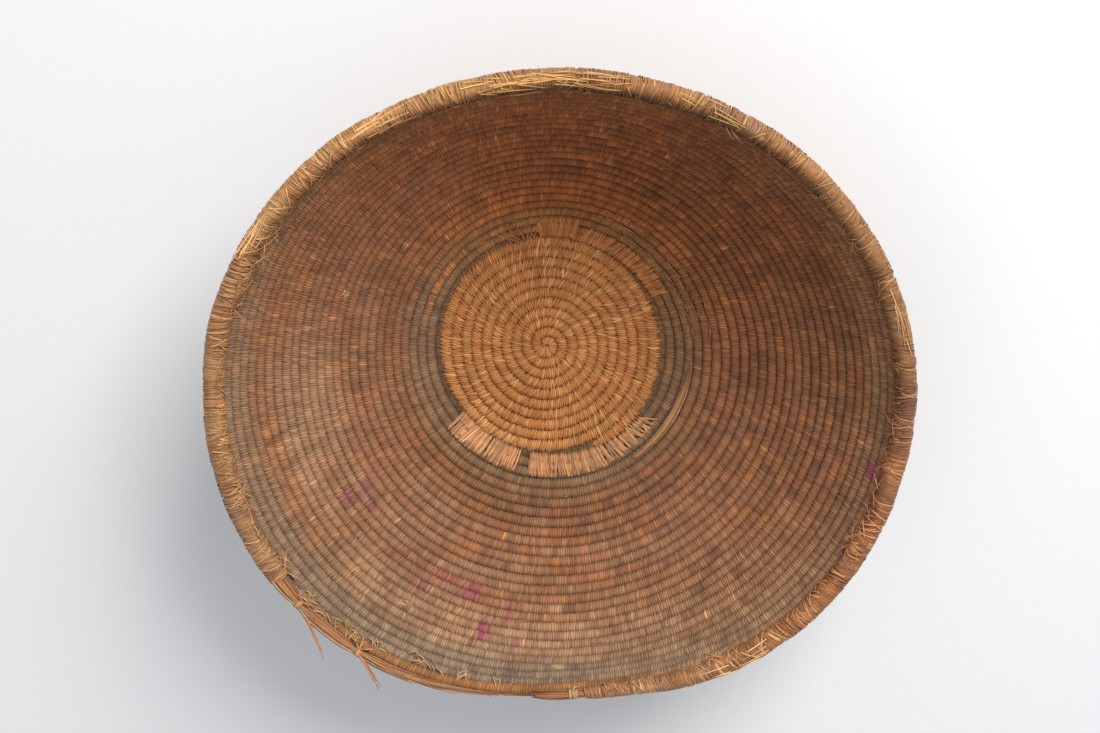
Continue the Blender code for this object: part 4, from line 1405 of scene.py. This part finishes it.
def binding_stubs():
    """Pale knots and stubs of lost binding along the bared edge."""
    mesh = SweptMesh()
    rng = np.random.default_rng(9750)
    part = np.linspace(0, 1, 12)[:, None]
    for i, (middle, deg, reach, count) in enumerate(STUB_CLUMPS):
        for k in range(count):
            level = middle + rng.uniform(-0.5, 0.5)
            phi = math.radians(deg + rng.normal(0, 0.5) * reach)
            point, rise, face = wall_frame(level, phi)
            along = unit(np.cross(rise, face))
            angle = rng.uniform(0, TAU)
            heading = math.cos(angle) * along + math.sin(angle) * rise
            length = rng.uniform(5, 15)
            bend = unit(np.cross(face, heading)) * rng.uniform(-0.5, 0.5)
            arch = 2.6 * np.sin(np.pi * part) * rng.uniform(0.2, 1.0)
            path = point + face * (4.6 + arch) + heading * (part - 0.5) * length
            path = path + bend * length * (part - 0.5) ** 2
            side = unit(np.cross(heading, face))
            up = unit(np.cross(side, np.gradient(path, axis=0)))
            tone = mix(GOLD, STRAW_PALE, rng.random())
            width = rng.uniform(0.7, 1.7)
            tone = tone * rng.uniform(0.7, 1.1)
            mesh.ribbon(path, side, up, width, 0.28, tone, 5000 + 40 * i + k)
    mesh.build("lost_binding_stubs", MAT_LASH, slot="rim_strips")


def straw_flecks():
    """Short pale bits lying on the wall, and four small clusters (level, degrees)."""
    mesh = SweptMesh()
    rng = np.random.default_rng(9800)
    part = np.linspace(-0.5, 0.5, 8)
    for k in range(120):
        level = rng.uniform(1.0, 24.5)
        phi = rng.uniform(0, TAU)
        length = rng.uniform(2.0, 6.0)
        angle = rng.uniform(0, math.pi)
        levels = level + length * math.sin(angle) * part / PITCH
        phis = phi + length * math.cos(angle) * part / section(level, phi)[0]
        point, _, face = wall_frame(levels, phis)
        path = point + face * (5.2 + 0.5 * np.abs(part))[:, None]
        mesh.random_straw(
            rng, path, (0.16, 0.32), STRAW_PALE, (0.5, 0.9), 900 + k, tip=0.4, sides=5
        )
    for middle, deg in ((19.1, 239.5), (22.5, 273.0), (8.0, 140.0), (12.0, 160.0)):
        for k in range(4):
            level = middle + rng.uniform(-0.3, 0.3) + 0.5 * part * rng.uniform(-1, 1)
            phi = np.radians(deg + rng.uniform(-1, 1)) + 0.03 * part
            point, _, face = wall_frame(level, phi)
            mesh.random_straw(rng, point + face * 5.5, (0.25, 0.45), STRAW_PALE, (0.8, 1.1),
                              1100 + k, tip=0.4, sides=5)
    mesh.build("wall_straw_flecks", MAT_BARE, slot="bare_straw")


rim_loose_ends()
binding_stubs()
straw_flecks()

# ------------------------------------------------------------------ stage (metres)
FLOOR_SIZE, FLOOR_Z = 9.0, -0.0006
# the camera looks at the disc 14 degrees off its axis from +Y, and 2 degrees from +X
CAMERA_TILT, CAMERA_TURN = math.radians(14.0), math.radians(2.0)
CAMERA_RIGHT, CAMERA_UP, CAMERA_BACK = 0.003, -0.0235, 1.505  # offsets along its own axes
CAMERA_LENS, SENSOR_WIDTH = 49.090909, 36.0  # mm


def build_floor():
    bpy.ops.mesh.primitive_plane_add(size=FLOOR_SIZE, location=(0, 0, FLOOR_Z))
    floor = bpy.context.object
    floor.name = "floor"
    mat = bpy.data.materials.new("pale_floor")
    mat.use_nodes = True
    tree = mat.node_tree
    noise = add_node(tree, "TexNoise", {"Scale": 90.0, "Detail": 4.0})
    coord = add_node(tree, "TexCoord", {})
    fill(tree, noise, {"Vector": coord.outputs["Object"]})
    relief = {"Strength": 0.12, "Distance": 0.002, "Height": noise.outputs["Fac"]}
    fill(tree, tree.nodes["Principled BSDF"], {
        "Base Color": (0.80, 0.81, 0.82, 1),
        "Roughness": 0.8,
        "Normal": add_node(tree, "Bump", relief).outputs[0],
    })
    floor.data.materials.append(mat)


def build_world():
    world = bpy.data.worlds.new("soft_studio")
    bpy.context.scene.world = world
    world.use_nodes = True
    background = {"Color": (0.93, 0.96, 1.0, 1), "Strength": 0.52}
    fill(world.node_tree, world.node_tree.nodes["Background"], background)


def area_light(name, location, target, size, energy, color):
    data = bpy.data.lights.new(name, "AREA")
    data.energy, data.size, data.color = energy, size, color
    obj = bpy.data.objects.new(name, data)
    bpy.context.scene.collection.objects.link(obj)
    obj.location = location
    aim = Vector(target) - Vector(location)
    obj.rotation_euler = aim.to_track_quat("-Z", "Y").to_euler()


def build_camera():
    cos_tilt, sin_tilt = math.cos(CAMERA_TILT), math.sin(CAMERA_TILT)
    cos_turn, sin_turn = math.cos(CAMERA_TURN), math.sin(CAMERA_TURN)
    right = np.array([cos_turn, -sin_turn * sin_tilt, -sin_turn * cos_tilt])
    up = np.array([0, cos_tilt, -sin_tilt])
    back = np.array([sin_turn, cos_turn * sin_tilt, cos_turn * cos_tilt])
    location = CAMERA_RIGHT * right + CAMERA_UP * up + CAMERA_BACK * back
    data = bpy.data.cameras.new("camera")
    data.lens, data.sensor_width = CAMERA_LENS, SENSOR_WIDTH
    obj = bpy.data.objects.new("camera", data)
    bpy.context.scene.collection.objects.link(obj)
    rows = np.column_stack([right, up, back, location]).tolist()
    obj.matrix_world = Matrix(rows + [[0, 0, 0, 1]])
    bpy.context.scene.camera = obj


bpy.context.scene.view_settings.view_transform = "Standard"
build_floor()
build_world()
area_light("key_soft", location=(1.25, 2.05, 2.1), target=(0, -0.05, 0.1), size=1.7,
           energy=105.0, color=(1.0, 0.975, 0.94))
area_light("fill_soft", location=(-1.5, -1.4, 2.6), target=(0, 0, 0.1), size=2.4,
           energy=12.0, color=(0.95, 0.97, 1.0))
build_camera()


def corners(box):
    return [[float(x) for x in corner] for corner in box]
